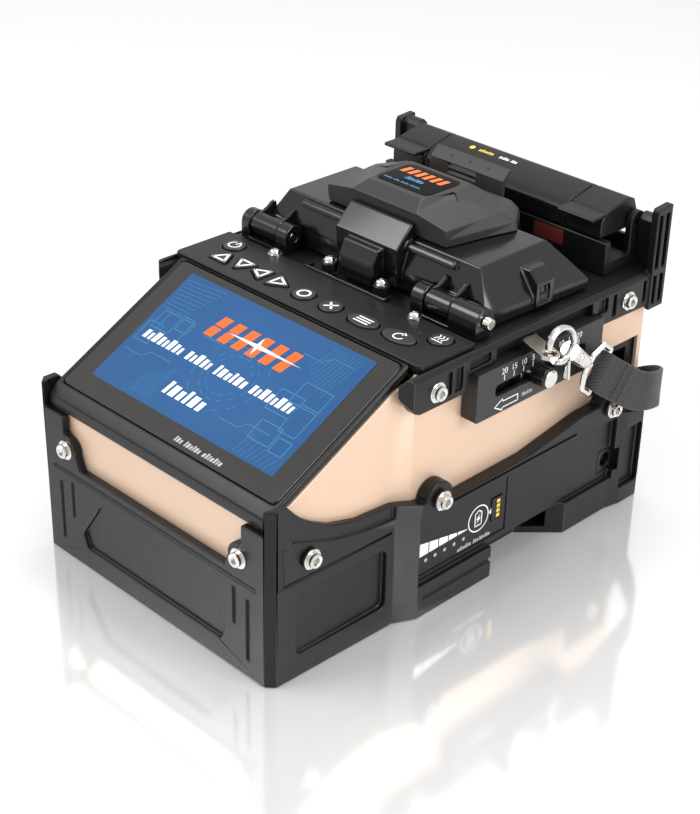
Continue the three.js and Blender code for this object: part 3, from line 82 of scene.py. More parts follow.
# ---------- materials ----------
class Nodes:
    """A material's node tree with short calls for its nodes and links."""

    def __init__(self, name):
        self.material = bpy.data.materials.new(name)
        self.material.use_nodes = True
        self.tree = self.material.node_tree
        self.shader = self.tree.nodes["Principled BSDF"]
        self.place = self.node("ShaderNodeTexCoord").outputs["Object"]

    def node(self, kind, **settings):
        made = self.tree.nodes.new(kind)
        for name, value in settings.items():
            setattr(made, name, value)
        return made

    def link(self, source, target):
        self.tree.links.new(source, target)

    def noise(self, scale, detail=3):
        made = self.node("ShaderNodeTexNoise")
        made.inputs["Scale"].default_value = scale
        made.inputs["Detail"].default_value = detail
        self.link(self.place, made.inputs["Vector"])
        return made.outputs["Fac"]

    def span(self, value, low, high, from_low=0.3, from_high=0.7):
        made = self.node("ShaderNodeMapRange")
        made.inputs["From Min"].default_value = from_low
        made.inputs["From Max"].default_value = from_high
        made.inputs["To Min"].default_value = low
        made.inputs["To Max"].default_value = high
        self.link(value, made.inputs["Value"])
        return made.outputs["Result"]

    def blend(self, factor, first, second):
        made = self.node("ShaderNodeMix", data_type="RGBA")
        for at, value in ((0, factor), (6, first), (7, second)):
            socket = made.inputs[at]
            if isinstance(value, (tuple, list)):
                socket.default_value = (*value, 1)
            else:
                self.link(value, socket)
        return made.outputs[2]

    def bump(self, height, strength, distance):
        made = self.node("ShaderNodeBump")
        made.inputs["Strength"].default_value = strength
        made.inputs["Distance"].default_value = distance
        self.link(height, made.inputs["Height"])
        return made.outputs["Normal"]

    def edges(self, radius):
        """1 on rounded edges, 0 on flats: how far the bevelled normal leans from the true one."""
        bevel = self.node("ShaderNodeBevel", samples=4)
        bevel.inputs["Radius"].default_value = radius
        facing = self.node("ShaderNodeVectorMath", operation="DOT_PRODUCT")
        self.link(bevel.outputs["Normal"], facing.inputs[0])
        self.link(self.node("ShaderNodeNewGeometry").outputs["Normal"], facing.inputs[1])
        return self.span(facing.outputs["Value"], 1, 0, 0.86, 0.995)


def scaled(colour, factor):
    return tuple(min(channel * factor, 1) for channel in colour)


def surface(
    name, colour, rough, grain=1500, relief=0.12, metal=0, vary=0.18, wear=0, coat=0, shine=0.5
):
    """Moulded, painted or plated: mottled colour and sheen, a fine grain, and paler worn edges."""
    nodes = Nodes(name)
    mottle = nodes.noise(45, 4)
    tone = nodes.blend(mottle, scaled(colour, 1 - vary), scaled(colour, 1 + vary))
    fine = nodes.noise(grain, 3)
    if wear:
        worn = nodes.node("ShaderNodeMath", operation="MULTIPLY")
        nodes.link(nodes.edges(0.0007), worn.inputs[0])
        nodes.link(nodes.span(nodes.noise(300, 4), 0, wear, 0.35, 0.75), worn.inputs[1])
        tone = nodes.blend(worn.outputs[0], tone, scaled(colour, 4))
    nodes.link(tone, nodes.shader.inputs["Base Color"])
    sheen = nodes.blend(nodes.noise(160, 5), (rough - 0.05,) * 3, (rough + 0.06,) * 3)
    nodes.link(sheen, nodes.shader.inputs["Roughness"])
    nodes.link(nodes.bump(fine, relief, 0.0001), nodes.shader.inputs["Normal"])
    nodes.shader.inputs["Metallic"].default_value = metal
    nodes.shader.inputs["Specular IOR Level"].default_value = shine
    nodes.shader.inputs["Coat Weight"].default_value = coat
    nodes.shader.inputs["Coat Roughness"].default_value = 0.08
    return nodes.material


def ink(name, colour, glow=0.0, rough=0.5):
    """Printed or lit colour with a slightly uneven density."""
    nodes = Nodes(name)
    tone = nodes.blend(nodes.noise(900, 3), scaled(colour, 0.86), scaled(colour, 1.06))
    nodes.link(tone, nodes.shader.inputs["Base Color"])
    nodes.shader.inputs["Roughness"].default_value = rough
    if glow:
        nodes.link(tone, nodes.shader.inputs["Emission Color"])
        nodes.shader.inputs["Emission Strength"].default_value = glow
    return nodes.material


def backlit_blue():
    """The lit display: deep blue that lightens towards its middle, behind glass."""
    nodes = Nodes("display_blue")
    glow = nodes.node("ShaderNodeTexGradient", gradient_type="SPHERICAL")
    shift = nodes.node("ShaderNodeMapping")
    middle = mm(0, 37, 83)
    shift.inputs["Location"].default_value = [-16 * v for v in middle]
    shift.inputs["Scale"].default_value = (16, 16, 16)
    nodes.link(nodes.place, shift.inputs["Vector"])
    nodes.link(shift.outputs["Vector"], glow.inputs["Vector"])
    tone = nodes.blend(glow.outputs["Fac"], (0.004, 0.048, 0.145), (0.006, 0.062, 0.18))
    nodes.link(tone, nodes.shader.inputs["Base Color"])
    nodes.link(tone, nodes.shader.inputs["Emission Color"])
    nodes.shader.inputs["Emission Strength"].default_value = 0.35
    nodes.link(nodes.span(nodes.noise(70), 0.16, 0.26), nodes.shader.inputs["Roughness"])
    return nodes.material


def weave():
    """Coarse black webbing: a pale fuzz on the raised yarns, painted shade on the lowered yarns, and a
    fibre grain.
    """
    nodes = Nodes("webbing_black")
    fuzz = nodes.noise(5200, 4)
    yarn = nodes.node("ShaderNodeAttribute", attribute_name="yarn").outputs["Fac"]
    raised_yarn = nodes.blend(fuzz, (0.016, 0.016, 0.017), (0.052, 0.052, 0.054))
    # Painted shade: the lowered yarns are near black, darker than the fuzz, as shade between the
    # raised ones.
    tone = nodes.blend(nodes.span(yarn, 0, 1, 0.35, 0.95), (0.003, 0.003, 0.003), raised_yarn)
    nodes.link(tone, nodes.shader.inputs["Base Color"])
    nodes.shader.inputs["Roughness"].default_value = 0.7
    nodes.shader.inputs["Sheen Weight"].default_value = 0.35
    nodes.shader.inputs["Sheen Roughness"].default_value = 0.4
    nodes.link(nodes.bump(fuzz, 0.5, 0.00015), nodes.shader.inputs["Normal"])
    return nodes.material


MATERIALS = {
    "satin_black": surface(
        "moulded_black", (0.0052, 0.0052, 0.0056), 0.36, relief=0.22, wear=0.8, shine=0.33
    ),
    "cover_black": surface(
        "polished_black", (0.005, 0.005, 0.006), 0.2, 700, 0.06, wear=0.6, coat=0.25, shine=0.4
    ),
    "warm_grey": surface(
        "matt_grey", (0.025, 0.0232, 0.0218), 0.42, 2200, 0.35, wear=0.35, shine=0.4
    ),
    "champagne": surface(
        "painted_shell", (0.66, 0.475, 0.35), 0.36, 2600, 0.05, metal=0.2, vary=0.03
    ),
    "screen_glass": surface("screen_bezel", (0.012, 0.011, 0.010), 0.2, 3000, 0.02, coat=0.4),
    "key_rubber": surface("key_rubber", (0.018, 0.018, 0.019), 0.38, 2200, 0.15, wear=0.3),
    "chrome": surface("bright_plating", (0.72, 0.71, 0.68), 0.14, 500, 0.04, metal=1, vary=0.06),
    "steel": surface("plated_steel", (0.52, 0.47, 0.40), 0.26, 900, 0.08, metal=1, vary=0.1),
    "anodised": surface(
        "anodised_black", (0.024, 0.024, 0.026), 0.34, 3200, 0.12, metal=0.3, wear=0.4
    ),
    "aluminium": surface("milled_aluminium", (0.60, 0.61, 0.63), 0.3, 1200, 0.1, metal=1),
    "webbing": weave(),
    "circuit_board": surface("solder_mask", (0.02, 0.14, 0.06), 0.35, 900, 0.1),
}
WHITE_INK = ink("white_print", (0.82, 0.82, 0.80))
GREY_INK = ink("grey_print", (0.40, 0.40, 0.40))
YELLOW_INK = ink("yellow_print", (0.85, 0.56, 0.06))
ORANGE_INK = ink("orange_print", (0.90, 0.17, 0.02))
BLUE_INK = ink("blue_print", (0.05, 0.22, 0.45))
LABEL = surface("label_film", (0.0022, 0.0016, 0.0015), 0.5, 1800, 0.04, shine=0.12)
RED_FILM = surface("red_film", (0.13, 0.020, 0.014), 0.4, 700, 0.1)
# Painted shade: a near-black matt film, laid flat where holes, grooves and the slot's hollow would
# fall in shade.
SHADE_FILM = surface("painted_shade_film", (0.006, 0.006, 0.006), 0.6, 900, 0.1)
DISPLAY = backlit_blue()
LIT_ORANGE = ink("display_orange", (0.75, 0.10, 0.008), 0.25, 0.3)
LIT_WHITE = ink("display_white", (0.70, 0.73, 0.75), 0.12, 0.3)
LIT_CYAN = ink("display_cyan", (0.02, 0.16, 0.30), 0.3, 0.3)

for name, node in NODES.items():
    node.data.materials.clear()
    node.data.materials.append(MATERIALS[SLOT_OF[name]])


# ---------- making pieces ----------
def piece(name, verts, faces, material, body, smooth=True):
    """A mesh object from millimetre points that rides on a body."""
    mesh = bpy.data.meshes.new(name)
    mesh.from_pydata([mm(*v) for v in verts], [], faces)
    mesh.materials.append(material)
    mesh.validate()
    if smooth:
        mesh.shade_smooth()
        mesh.set_sharp_from_angle(angle=math.radians(35))
    made = bpy.data.objects.new(name, mesh)
    bpy.context.scene.collection.objects.link(made)
    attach(made, body)
    return made


def bake(thing):
    """Puts a piece's modifiers into its mesh."""
    graph = bpy.context.evaluated_depsgraph_get()
    done = bpy.data.meshes.new_from_object(thing.evaluated_get(graph))
    old = thing.data
    thing.modifiers.clear()
    thing.data = done
    bpy.data.meshes.remove(old)


def wall(rows, around, start=0):
    """Four-sided faces between rows of points, each row closed on itself."""
    faces = []
    for row in range(rows - 1):
        low = start + row * around
        high = low + around
        for i in range(around):
            j = (i + 1) % around
            faces.append((low + i, low + j, high + j, high + i))
    return faces


def rounded(thing, width, segments=2, angle=30):
    """Rounds a piece's edges."""
    bevel = thing.modifiers.new("edges", "BEVEL")
    bevel.width = width * UNIT
    bevel.segments = segments
    bevel.limit_method = "ANGLE"
    bevel.angle_limit = math.radians(angle)
    bevel.use_clamp_overlap = False
    bevel.miter_outer = "MITER_ARC" if segments > 2 else "MITER_SHARP"
    even = thing.modifiers.new("normals", "WEIGHTED_NORMAL")
    even.keep_sharp = True
    bake(thing)


def refine(node, width=0.3, segments=2, angle=30):
    """A CAD node's shape again with rounded edges, in place of the node."""
    source = bmesh.new()
    source.from_mesh(NODES[node].data)
    bmesh.ops.remove_doubles(source, verts=source.verts, dist=2e-6)
    bmesh.ops.dissolve_degenerate(source, dist=2e-5, edges=source.edges)
    bmesh.ops.dissolve_limit(
        source, angle_limit=math.radians(0.1), verts=source.verts, edges=source.edges
    )
    many_sided = [face for face in source.faces if len(face.verts) > 4]
    bmesh.ops.triangulate(source, faces=many_sided, ngon_method="BEAUTY")
    source.verts.index_update()
    verts = [tuple(v.co) for v in source.verts]
    faces = [[v.index for v in face.verts] for face in source.faces]
    source.free()
    mesh = bpy.data.meshes.new(node + "_skin")
    mesh.from_pydata(verts, [], faces)
    mesh.materials.append(MATERIALS[SLOT_OF[node]])
    mesh.shade_smooth()
    made = bpy.data.objects.new(node + "_skin", mesh)
    bpy.context.scene.collection.objects.link(made)
    mesh.set_sharp_from_angle(angle=math.radians(80 if width else 35))
    if width:
        rounded(made, width, segments, angle)
    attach(made, BODY_OF[node])
    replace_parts(made, node)
    return made


# ---------- flat print on a face ----------
class Face:
    """A flat place for print: a corner and two directions, in millimetres."""

    def __init__(self, corner, along, up, body):
        self.corner = Vector(corner)
        self.along = Vector(along).normalized()
        self.up = Vector(up).normalized()
        self.body = body

    def at(self, u, v):
        return self.corner + self.along * u + self.up * v


def prints(name, face, shapes, material):
    """Flat shapes in the face's own coordinates, as one piece of print."""
    verts, faces = [], []
    for shape in shapes:
        faces.append(range(len(verts), len(verts) + len(shape)))
        verts.extend(face.at(u, v) for u, v in shape)
    return piece(name, verts, faces, material, face.body, smooth=False)


def strip(start, end, width):
    """A straight line of some width."""
    (a, b), (c, d) = start, end
    long = math.hypot(c - a, d - b)
    du, dv = (b - d) / long * width / 2, (c - a) / long * width / 2
    return [(a - du, b - dv), (c - du, d - dv), (c + du, d + dv), (a + du, b + dv)]


def path(points, width, closed=False):
    ends = points[1:] + points[:1] if closed else points[1:]
    return [strip(a, b, width) for a, b in zip(points, ends)]


def turned(points, centre, angle=0.0):
    c, s = math.cos(angle), math.sin(angle)
    return [(centre[0] + u * c - v * s, centre[1] + u * s + v * c) for u, v in points]


def arc(centre, radius, start=0.0, end=360.0, count=28, flat=1.0):
    turns = [math.radians(start + (end - start) * i / count) for i in range(count + 1)]
    return [(centre[0] + radius * math.cos(t), centre[1] + radius * flat * math.sin(t)) for t in turns]


def ring(centre, radius, width, start=0.0, end=360.0, count=28, flat=1.0):
    inner = arc(centre, radius - width / 2, start, end, count, flat)
    outer = arc(centre, radius + width / 2, start, end, count, flat)
    return [[inner[i], outer[i], outer[i + 1], inner[i + 1]] for i in range(count)]


def disc(centre, radius, count=24, flat=1.0):
    return [arc(centre, radius, 0, 360, count, flat)[:-1]]


def slab(low, high, lean=0.0):
    """A rectangle, its top edge shifted by the lean."""
    return [low, (high[0], low[1]), (high[0] + lean, high[1]), (low[0] + lean, high[1])]


def ticked_row(start, base, height, groups, lean=0.0):
    """Groups of upright ticks of three widths, where the real thing has a line of words."""
    made = []
    for group in groups:
        for k in range(group):
            wide = height * (0.30, 0.52, 0.40)[(k + group) % 3]
            tall = height * (1.0, 0.72, 0.86)[(k * 2 + group) % 3]
            made.append(slab((start, base), (start + wide, base + tall), lean * tall))
            start += wide + height * 0.2
        start += height * 0.5
    return made


# ---------- screws ----------
def turned_solid(name, centre, axis, rings, material, body, sides=24):
    """A turned piece: rings of (radius, height, six-sided) from the face outwards."""
    axis = Vector(axis).normalized()
    side = axis.orthogonal().normalized()
    across = axis.cross(side)
    verts = []
    for radius, height, hexagonal in rings:
        for i in range(sides):
            turn = 2 * math.pi * i / sides
            reach = radius
            if hexagonal:
                reach = radius / math.cos((turn % (math.pi / 3)) - math.pi / 6)
            away = side * math.cos(turn) + across * math.sin(turn)
            verts.append(Vector(centre) + axis * height + away * reach)
    faces = wall(len(rings), sides)
    faces.append(list(range((len(rings) - 1) * sides, len(rings) * sides)))
    faces.append(list(range(sides))[::-1])
    return piece(name, verts, faces, material, body)


def socket_screw(name, centre, axis, body, washer=3.7, head=2.65):
    rings = [
        (washer, -0.3, False),
        (washer, 0.45, False),
        (washer - 0.25, 0.65, False),
        (head + 0.05, 0.65, False),
        (head, 0.7, False),
        (head, 2.1, False),
        (head - 0.3, 2.45, False),
        (head * 0.62, 2.45, False),
        (head * 0.50, 2.3, True),
        (head * 0.48, 0.9, True),
        (0.15, 0.75, False),
    ]
    return turned_solid(name, centre, axis, rings, MATERIALS["chrome"], body)


def deck_screw(name, centre, body):
    rings = [
        (2.7, -0.2, False),
        (2.7, 0.4, False),
        (2.1, 0.45, False),
        (2.0, 1.2, False),
        (1.5, 1.75, False),
        (0.85, 1.9, False),
        (0.75, 1.2, True),
        (0.1, 1.1, False),
    ]
    return turned_solid(name, centre, (0, 0, 1), rings, MATERIALS["chrome"], body, 20)


# ---------- housings with rounded edges ----------
ROUNDING = {
    "base_tray": 0.45,
    "screen_housing": 0.6,
    "screen_glass": 0.35,
    "body_shell": 0.25,
    "key_panel": 0.4,
    "deck_plate": 0.3,
    "frame_rail_right": 0.4,
    "frame_rail_left": 0.4,
    "rear_panel": 0.3,
    "port_panel": 0.25,
    "wind_cover": 0.6,
    "cover_handle": 0.35,
    "hinge_bracket_left": 0.45,
    "hinge_bracket_right": 0.45,
    "hinge_pin_left": 0.15,
    "hinge_pin_right": 0.15,
    "heater_body": 0.35,
    "heater_lid": 0.55,
    "heater_clamp_right": 0.55,
    "heater_clamp_left": 0.55,
    "heater_plate": 0.2,
    "battery_pack": 0.3,
    "battery_latch": 0.25,
    "dc_jack": 0.12,
    "scale_plate": 0.25,
    "adjuster_slider": 0.15,
    "adjuster_knob": 0.12,
    "strap_bracket_right": 0.2,
    "strap_bracket_left": 0.2,
    "groove_block": 0.15,
    "stage_right": 0.2,
    "stage_left": 0.2,
    "fibre_clamp_right": 0.2,
    "fibre_clamp_left": 0.2,
    "snap_hook_right": 0,
    "snap_hook_left": 0,
    "snap_gate_right": 0,
    "snap_gate_left": 0,
    "swivel_right": 0,
    "swivel_left": 0,
}
SKINS = {node: refine(node, width) for node, width in ROUNDING.items()}
for key in ("power", "up", "down", "left", "right", "ok", "cancel", "set", "reset", "heat"):
    SKINS["key_" + key] = refine("key_" + key, 0.28, 3)
SKINS["cover_hood"] = refine("cover_hood", 0.45, 3, 14)

# The knob is black, with a bright cap.
KNOB_END = (74.4, 118.3, 79)
KNOB_CAP = [(3.25, -0.1, False), (3.25, 0.15, False), (3.0, 0.35, False), (0.2, 0.35, False)]
SKINS["adjuster_knob"].data.materials[0] = MATERIALS["cover_black"]
turned_solid(
    "knob_cap",
    KNOB_END,
    (1, 0, 0),
    KNOB_CAP,
    MATERIALS["chrome"],
    "adjuster_knob",
    28,
)


# ---------- display and its graphics ----------
SCREEN = Face((0, 13.7, 70.7), (1, 0, 0), (0, 46.9, 24.4), "housing")
SCREEN_NORMAL = SCREEN.along.cross(SCREEN.up)
DISPLAY_HALF, DISPLAY_TALL = 47, 52.9


def raised(face, lift):
    """The same face, further out."""
    return Face(face.corner + face.along.cross(face.up) * lift, face.along, face.up, face.body)


def screen_lift():
    """How far the glass stands in front of the screen's measured plane."""
    return max(
        SCREEN_NORMAL.dot(v.co / UNIT + Vector((0, FRONT, 0)) - SCREEN.corner)
        for v in NODES["screen_glass"].data.vertices
    )


GLASS = raised(SCREEN, screen_lift() + 0.04)
prints("display", GLASS, [slab((-DISPLAY_HALF, 0), (DISPLAY_HALF, DISPLAY_TALL))], DISPLAY)
PICTURE = raised(GLASS, 0.03)


# Outlined boxes of the picture: left, low, width and height.
LEFT_BOXES = ((-43, 27, 9, 8), (-40, 24, 12, 12), (-45, 20, 7, 9), (-33, 30, 6, 5))
RIGHT_BOXES = ((30, 26, 13, 9), (24, 20, 11, 9), (35, 15, 8, 12), (27, 8, 10, 8), (38, 7, 6, 6))


def picture_lines():
    """Thin lines, boxes and broken circles behind the heading."""
    shapes = []
    for left, low, wide, tall in LEFT_BOXES + RIGHT_BOXES:
        shapes += path(slab((left, low), (left + wide, low + tall)), 0.3, True)
    for i in range(9):
        shapes.append(strip((-46, 36 + 1.7 * i), (-34 + i, 36 + 1.9 * i), 0.16))
        shapes.append(strip((-28 + 1.2 * i, 2), (-28 + 1.2 * i, 9 + i), 0.16))
        shapes.append(strip((30 + 1.6 * i, 51), (26 + 1.6 * i, 40 - i), 0.16))
        shapes.append(strip((44 - 2.2 * i, 1), (46 - 2.2 * i, 5 + 0.6 * i), 0.16))
    for radius in (8.5, 11, 15):
        for start in range(0, 360, 24):
            shapes += ring((2, 24), radius, 0.2, start, start + 13, 3)
    for start in ((-45, 15), (-20, 33), (12, 9), (20, 44)):
        u, v = start
        shapes += path([start, (u + 9, v), (u + 12, v + 3), (u + 22, v + 3)], 0.22)
    return shapes


def splice_mark():
    """A row of leaning blocks with cut corners, as a generic heading."""
    shapes = []
    for i in range(6):
        u = -21.5 + 7.1 * i
        shapes.append([(u, 33.6), (u + 4.3, 33.6), (u + 5.6, 38), (u + 1.3, 38)])
        shapes.append([(u + 1.5, 38.7), (u + 5.8, 38.7), (u + 7.1, 43.1), (u + 2.8, 43.1)])
    return shapes


prints("display_lines", PICTURE, picture_lines(), LIT_CYAN)
prints("display_heading", raised(PICTURE, 0.02), splice_mark(), LIT_ORANGE)
prints(
    "display_rows",
    raised(PICTURE, 0.03),
    ticked_row(-42.6, 21.8, 4.4, (8, 5, 6, 8), 0.15) + ticked_row(-16, 7, 5.6, (6,), 0.15),
    LIT_WHITE,
)
FLARE = [
    [(-13, 38.2), (3, 37.6), (24, 38.4), (3, 39.2)],
    [(2.2, 34.4), (3.1, 38.4), (2.2, 42.6), (1.3, 38.4)],
]
prints("display_flare", raised(PICTURE, 0.05), FLARE, LIT_WHITE)
prints("bezel_row", raised(GLASS, 0.01), ticked_row(4, -6, 2.2, (3, 6, 7), 0.2), GREY_INK)

# ---------- key signs ----------
KEY_TOP = 98.44
PANEL_TOP = 97.84


def arrow_sign(turn):
    corners = [turned([(3.5, 0)], (0, 0), math.radians(turn + 120 * i))[0] for i in range(3)]
    return path(corners, 0.95, True) + [p for c in corners for p in disc(c, 0.47, 10)]


def heat_sign():
    """Three waves over a plate."""
    shapes = []
    for u in (-1.5, 0, 1.5):
        wave = [(u + 0.45 * math.sin(v * 1.9), v) for v in (-1.4, -0.7, 0, 0.7, 1.4, 2.1)]
        shapes += path(wave, 0.5)
    return shapes + [slab((-2.4, -2.5), (2.4, -2.0))]


def centre_of(node):
    low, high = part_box(node)
    return ((low + high) / 2 / UNIT) + Vector((0, FRONT, 0))


SIGNS = {
    "power": ring((0, 0), 2.3, 0.62, 115, 425) + [strip((0.2, 0.4), (0.7, 3.0), 0.62)],
    "up": arrow_sign(90),
    "down": arrow_sign(-90),
    "left": arrow_sign(180),
    "right": arrow_sign(0),
    "ok": ring((0, 0), 2.3, 0.85),
    "cancel": [strip((-1.9, -1.9), (1.9, 1.9), 0.85), strip((-1.9, 1.9), (1.9, -1.9), 0.85)],
    "set": [slab((-3.4, v), (3.4, v + 0.7)) for v in (-1.9, -0.35, 1.2)],
    "reset": ring((0, 0), 2.0, 0.6, 60, 350) + [[(0.1, 1.0), (0.1, 3.2), (1.9, 2.1)]],
    "heat": heat_sign(),
}
ARROW_CENTRES = {
    "up": (-44.9, 73),
    "down": (-35.6, 75.4),
    "left": (-25.4, 74.6),
    "right": (-16, 74.2),
}
for key, shapes in SIGNS.items():
    middle = centre_of("key_" + key)
    x, y = ARROW_CENTRES.get(key, (middle.x, middle.y))
    key_face = Face((x, y, KEY_TOP), (1, 0, 0), (0, 1, 0), "key_" + key)
    prints("sign_" + key, key_face, shapes, WHITE_INK)

PANEL_FACE = Face((0, 0, PANEL_TOP), (1, 0, 0), (0, 1, 0), "housing")
# Painted shade: dark discs where the two lamp holes fall in shade.
prints("lamp_hole_shade", PANEL_FACE, disc((-43.3, 81.7), 0.7) + disc((45, 83), 0.7), SHADE_FILM)
# Painted shade: thin dark oval rings stand in for the shade in two oval grooves on the panel.
OVALS = ring((26.2, 74.6), 7.6, 0.35, flat=0.66) + ring((42.6, 75), 8, 0.35, flat=0.63)
prints("oval_groove_shade", PANEL_FACE, OVALS, SHADE_FILM)

# ---------- battery face print ----------
BATTERY = Face((63.85, 0, 0), (0, 1, 0), (0, 0, 1), "battery")


WEDGE_CUTS = [66.4, 71.8, 76.8, 81.8, 86.6, 92]


def charge_wedge():
    """The five bars of the charge scale, which narrow towards the sign."""
    shapes = []
    begin = WEDGE_CUTS[0]
    for a, b in zip(WEDGE_CUTS, WEDGE_CUTS[1:]):
        top = [28.9 - (u - begin) * 0.178 for u in (a, b)]
        low = [23.4 + (u - begin) * 0.028 for u in (a, b)]
        shapes.append([(a, low[0]), (b - 0.5, low[1]), (b - 0.5, top[1]), (a, top[0])])
    return shapes


def battery_sign():
    """A cell with a bolt in a ring, and an arrowhead that points at it."""
    cell = [(-1.7, -2.9), (1.7, -2.9), (1.7, 2.5), (0.7, 2.5)]
    cell += [(0.7, 3.2), (-0.7, 3.2), (-0.7, 2.5), (-1.7, 2.5)]
    bolt = [(0.9, 1.9), (-1.3, -0.3), (-0.2, -0.3), (-0.9, -2.1), (1.3, 0.3), (0.2, 0.3)]
    head = [(102.9, 26.4), (104.0, 25.0), (104.0, 27.8)]
    at = (97.2, 26.3)
    return ring(at, 5.2, 0.5) + path(turned(cell, at), 0.45, True) + [turned(bolt, at), head]


prints("battery_wedge", BATTERY, charge_wedge(), WHITE_INK)
prints("battery_sign", BATTERY, battery_sign(), WHITE_INK)
LAMPS = [shape for u in (70.2, 75, 79.9, 84.8, 89.7) for shape in disc((u, 21), 0.75)]
prints("battery_lamps", BATTERY, LAMPS, GREY_INK)
prints("battery_row", BATTERY, ticked_row(86.6, 16.6, 1.7, (7, 9), 0.2), GREY_INK)
LATCH = Face((64.16, 0, 0), (0, 1, 0), (0, 0, 1), "battery_latch")
LATCH_BARS = [slab((106.6, 22.9 + 2 * i), (108.3, 24.3 + 2 * i)) for i in range(4)]
prints("latch_mark", LATCH, LATCH_BARS, YELLOW_INK)

# ---------- adjuster scale ----------
SCALE = Face((67.66, 0, 0), (0, 1, 0), (0, 0, 1), "housing")
ZERO = 121.3
TICKS = [(ZERO + side * step, step) for side in (-1, 1) for step in (5, 10, 15, 20)]


def digits(name, face, words, u, v, size, material):
    """A number of the scale, as flat print."""
    curve = bpy.data.curves.new(name, "FONT")
    curve.body = words
    curve.size = size
    curve.align_x = "CENTER"
    text = bpy.data.objects.new(name, curve)
    bpy.context.scene.collection.objects.link(text)
    graph = bpy.context.evaluated_depsgraph_get()
    flat = bpy.data.meshes.new_from_object(text.evaluated_get(graph))
    bpy.data.objects.remove(text)
    verts = [face.at(u + p.co.x, v + p.co.y) for p in flat.vertices]
    faces = [list(p.vertices) for p in flat.polygons]
    bpy.data.meshes.remove(flat)
    return piece(name, verts, faces, material, face.body, smooth=False)


TICK_BARS = [slab((u - 0.18, 82.1), (u + 0.18, 84.2)) for u, _ in TICKS]
prints("scale_ticks", SCALE, TICK_BARS, WHITE_INK)
for i, (u, step) in enumerate(TICKS):
    digits("scale_number_%d" % i, SCALE, str(step), u, 84.7, 3.1, WHITE_INK)
ARROW = [(97.1, 72.8), (101.2, 75), (101.2, 74), (109.2, 74)]
ARROW += [(109.2, 71.6), (101.2, 71.6), (101.2, 70.6)]
prints("scale_arrow", SCALE, path(ARROW, 0.4, True), WHITE_INK)
prints("scale_row", SCALE, ticked_row(111.4, 72.1, 1.6, (6,)), GREY_INK)

# ---------- hood label and lid print ----------
HOOD_TOP = 127.34


def panel_outline(half, low, high, radius):
    """A rectangle with rounded corners."""
    corners = [(half - radius, low + radius, -90), (half - radius, high - radius, 0)]
    corners += [(radius - half, high - radius, 90), (radius - half, low + radius, 180)]
    return [p for u, v, start in corners for p in arc((u, v), radius, start, start + 90, 6)]


def raised_panel(name, outline, low, high, material, body):
    """A thin film with a softened upper edge."""
    count = len(outline)
    middle = [sum(p[i] for p in outline) / count for i in (0, 1)]
    inner = [(u + (middle[0] - u) * 0.02, v + (middle[1] - v) * 0.02) for u, v in outline]
    verts = [(u, v, low) for u, v in outline]
    verts += [(u, v, high - 0.08) for u, v in outline]
    verts += [(u, v, high) for u, v in inner]
    faces = wall(3, count)
    faces.append(list(range(2 * count, 3 * count)))
    return piece(name, verts, faces, material, body)


raised_panel(
    "hood_label",
    panel_outline(12.9, 118.4, 137.4, 2.8),
    127.2,
    HOOD_TOP + 0.2,
    LABEL,
    "cover",
)
HOOD_FACE = Face((0, 0, HOOD_TOP + 0.24), (1, 0, 0), (0, 1, 0), "cover")
BLOCKS = [slab((-10.9 + 3.6 * i, 129.2), (-8.8 + 3.6 * i, 134.2), 0.8) for i in range(6)]
prints("hood_blocks", HOOD_FACE, BLOCKS, ORANGE_INK)
HOOD_ROWS = ticked_row(-4.6, 125, 2.4, (6,), 0.2) + ticked_row(-11, 121, 1.1, (6, 5, 6, 7))
prints("hood_rows", HOOD_FACE, HOOD_ROWS, BLUE_INK)

LID_SLOPE = Face((0, 172.7, 118.66), (1, 0, 0), (0, 11.4, 2.36), "heater_lid")
LID_PRINT = raised(LID_SLOPE, 0.08)
LID_SPOT = disc((-21, 8.4), 1.2) + ticked_row(-17.4, 7.6, 1.7, (7,), 0.2)
prints("lid_spot", LID_PRINT, LID_SPOT, YELLOW_INK)
prints("lid_row", LID_PRINT, ticked_row(-7, 7.6, 1.7, (5, 3), 0.1), WHITE_INK)

# ---------- painted shade, red film and the tray lip ---
# Painted shade: a dark sheet behind the scale's slot stands in for the shade in the hollow behind it.
SLOT_SHADE = Face((60.75, 0, 0), (0, 1, 0), (0, 0, 1), "housing")
prints("slot_shade_sheet", SLOT_SHADE, [slab((89.6, 71.6), (153.4, 86.4))], SHADE_FILM)
FOLD = Face((0, 155.4, 127.0), (1, 0, 0), (0, 3.2, 3.2), "cover")
# Painted shade: dark discs on the handle's fold stand in for the shade in its three holes.
FOLD_HOLE_SHADE = [shape for u in (-9, 0, 9) for shape in disc((u, 0.2), 0.55)]
prints("handle_hole_shade", FOLD, FOLD_HOLE_SHADE, SHADE_FILM)
RED = Face((0, 168.42, 0), (1, 0, 0), (0, 0, 1), "housing")


def tray_lip():
    """The low rim of the tray in front of the cover's centre block."""
    outer = [(-20, 94.6), (-20, 90.6), (20, 90.6), (20, 94.6)]
    inner = [(18.9, 94.6), (18.9, 91.6), (-18.9, 91.6), (-18.9, 94.6)]
    rim = outer + inner
    count = len(rim)
    verts = [(u, v, z) for z in (97.0, 98.7) for u, v in rim]
    faces = wall(2, count)
    quads = [(0, 1, 6, 7), (1, 2, 5, 6), (2, 3, 4, 5)]
    faces += [tuple(count + i for i in quad) for quad in quads]
    faces += [tuple(reversed(quad)) for quad in quads]
    made = piece("tray_lip", verts, faces, MATERIALS["cover_black"], "housing")
    bpy.context.view_layer.update()
    rounded(made, 0.25, 2)


tray_lip()
prints("red_patch", RED, [slab((22, 101.6), (36, 107.6))], RED_FILM)

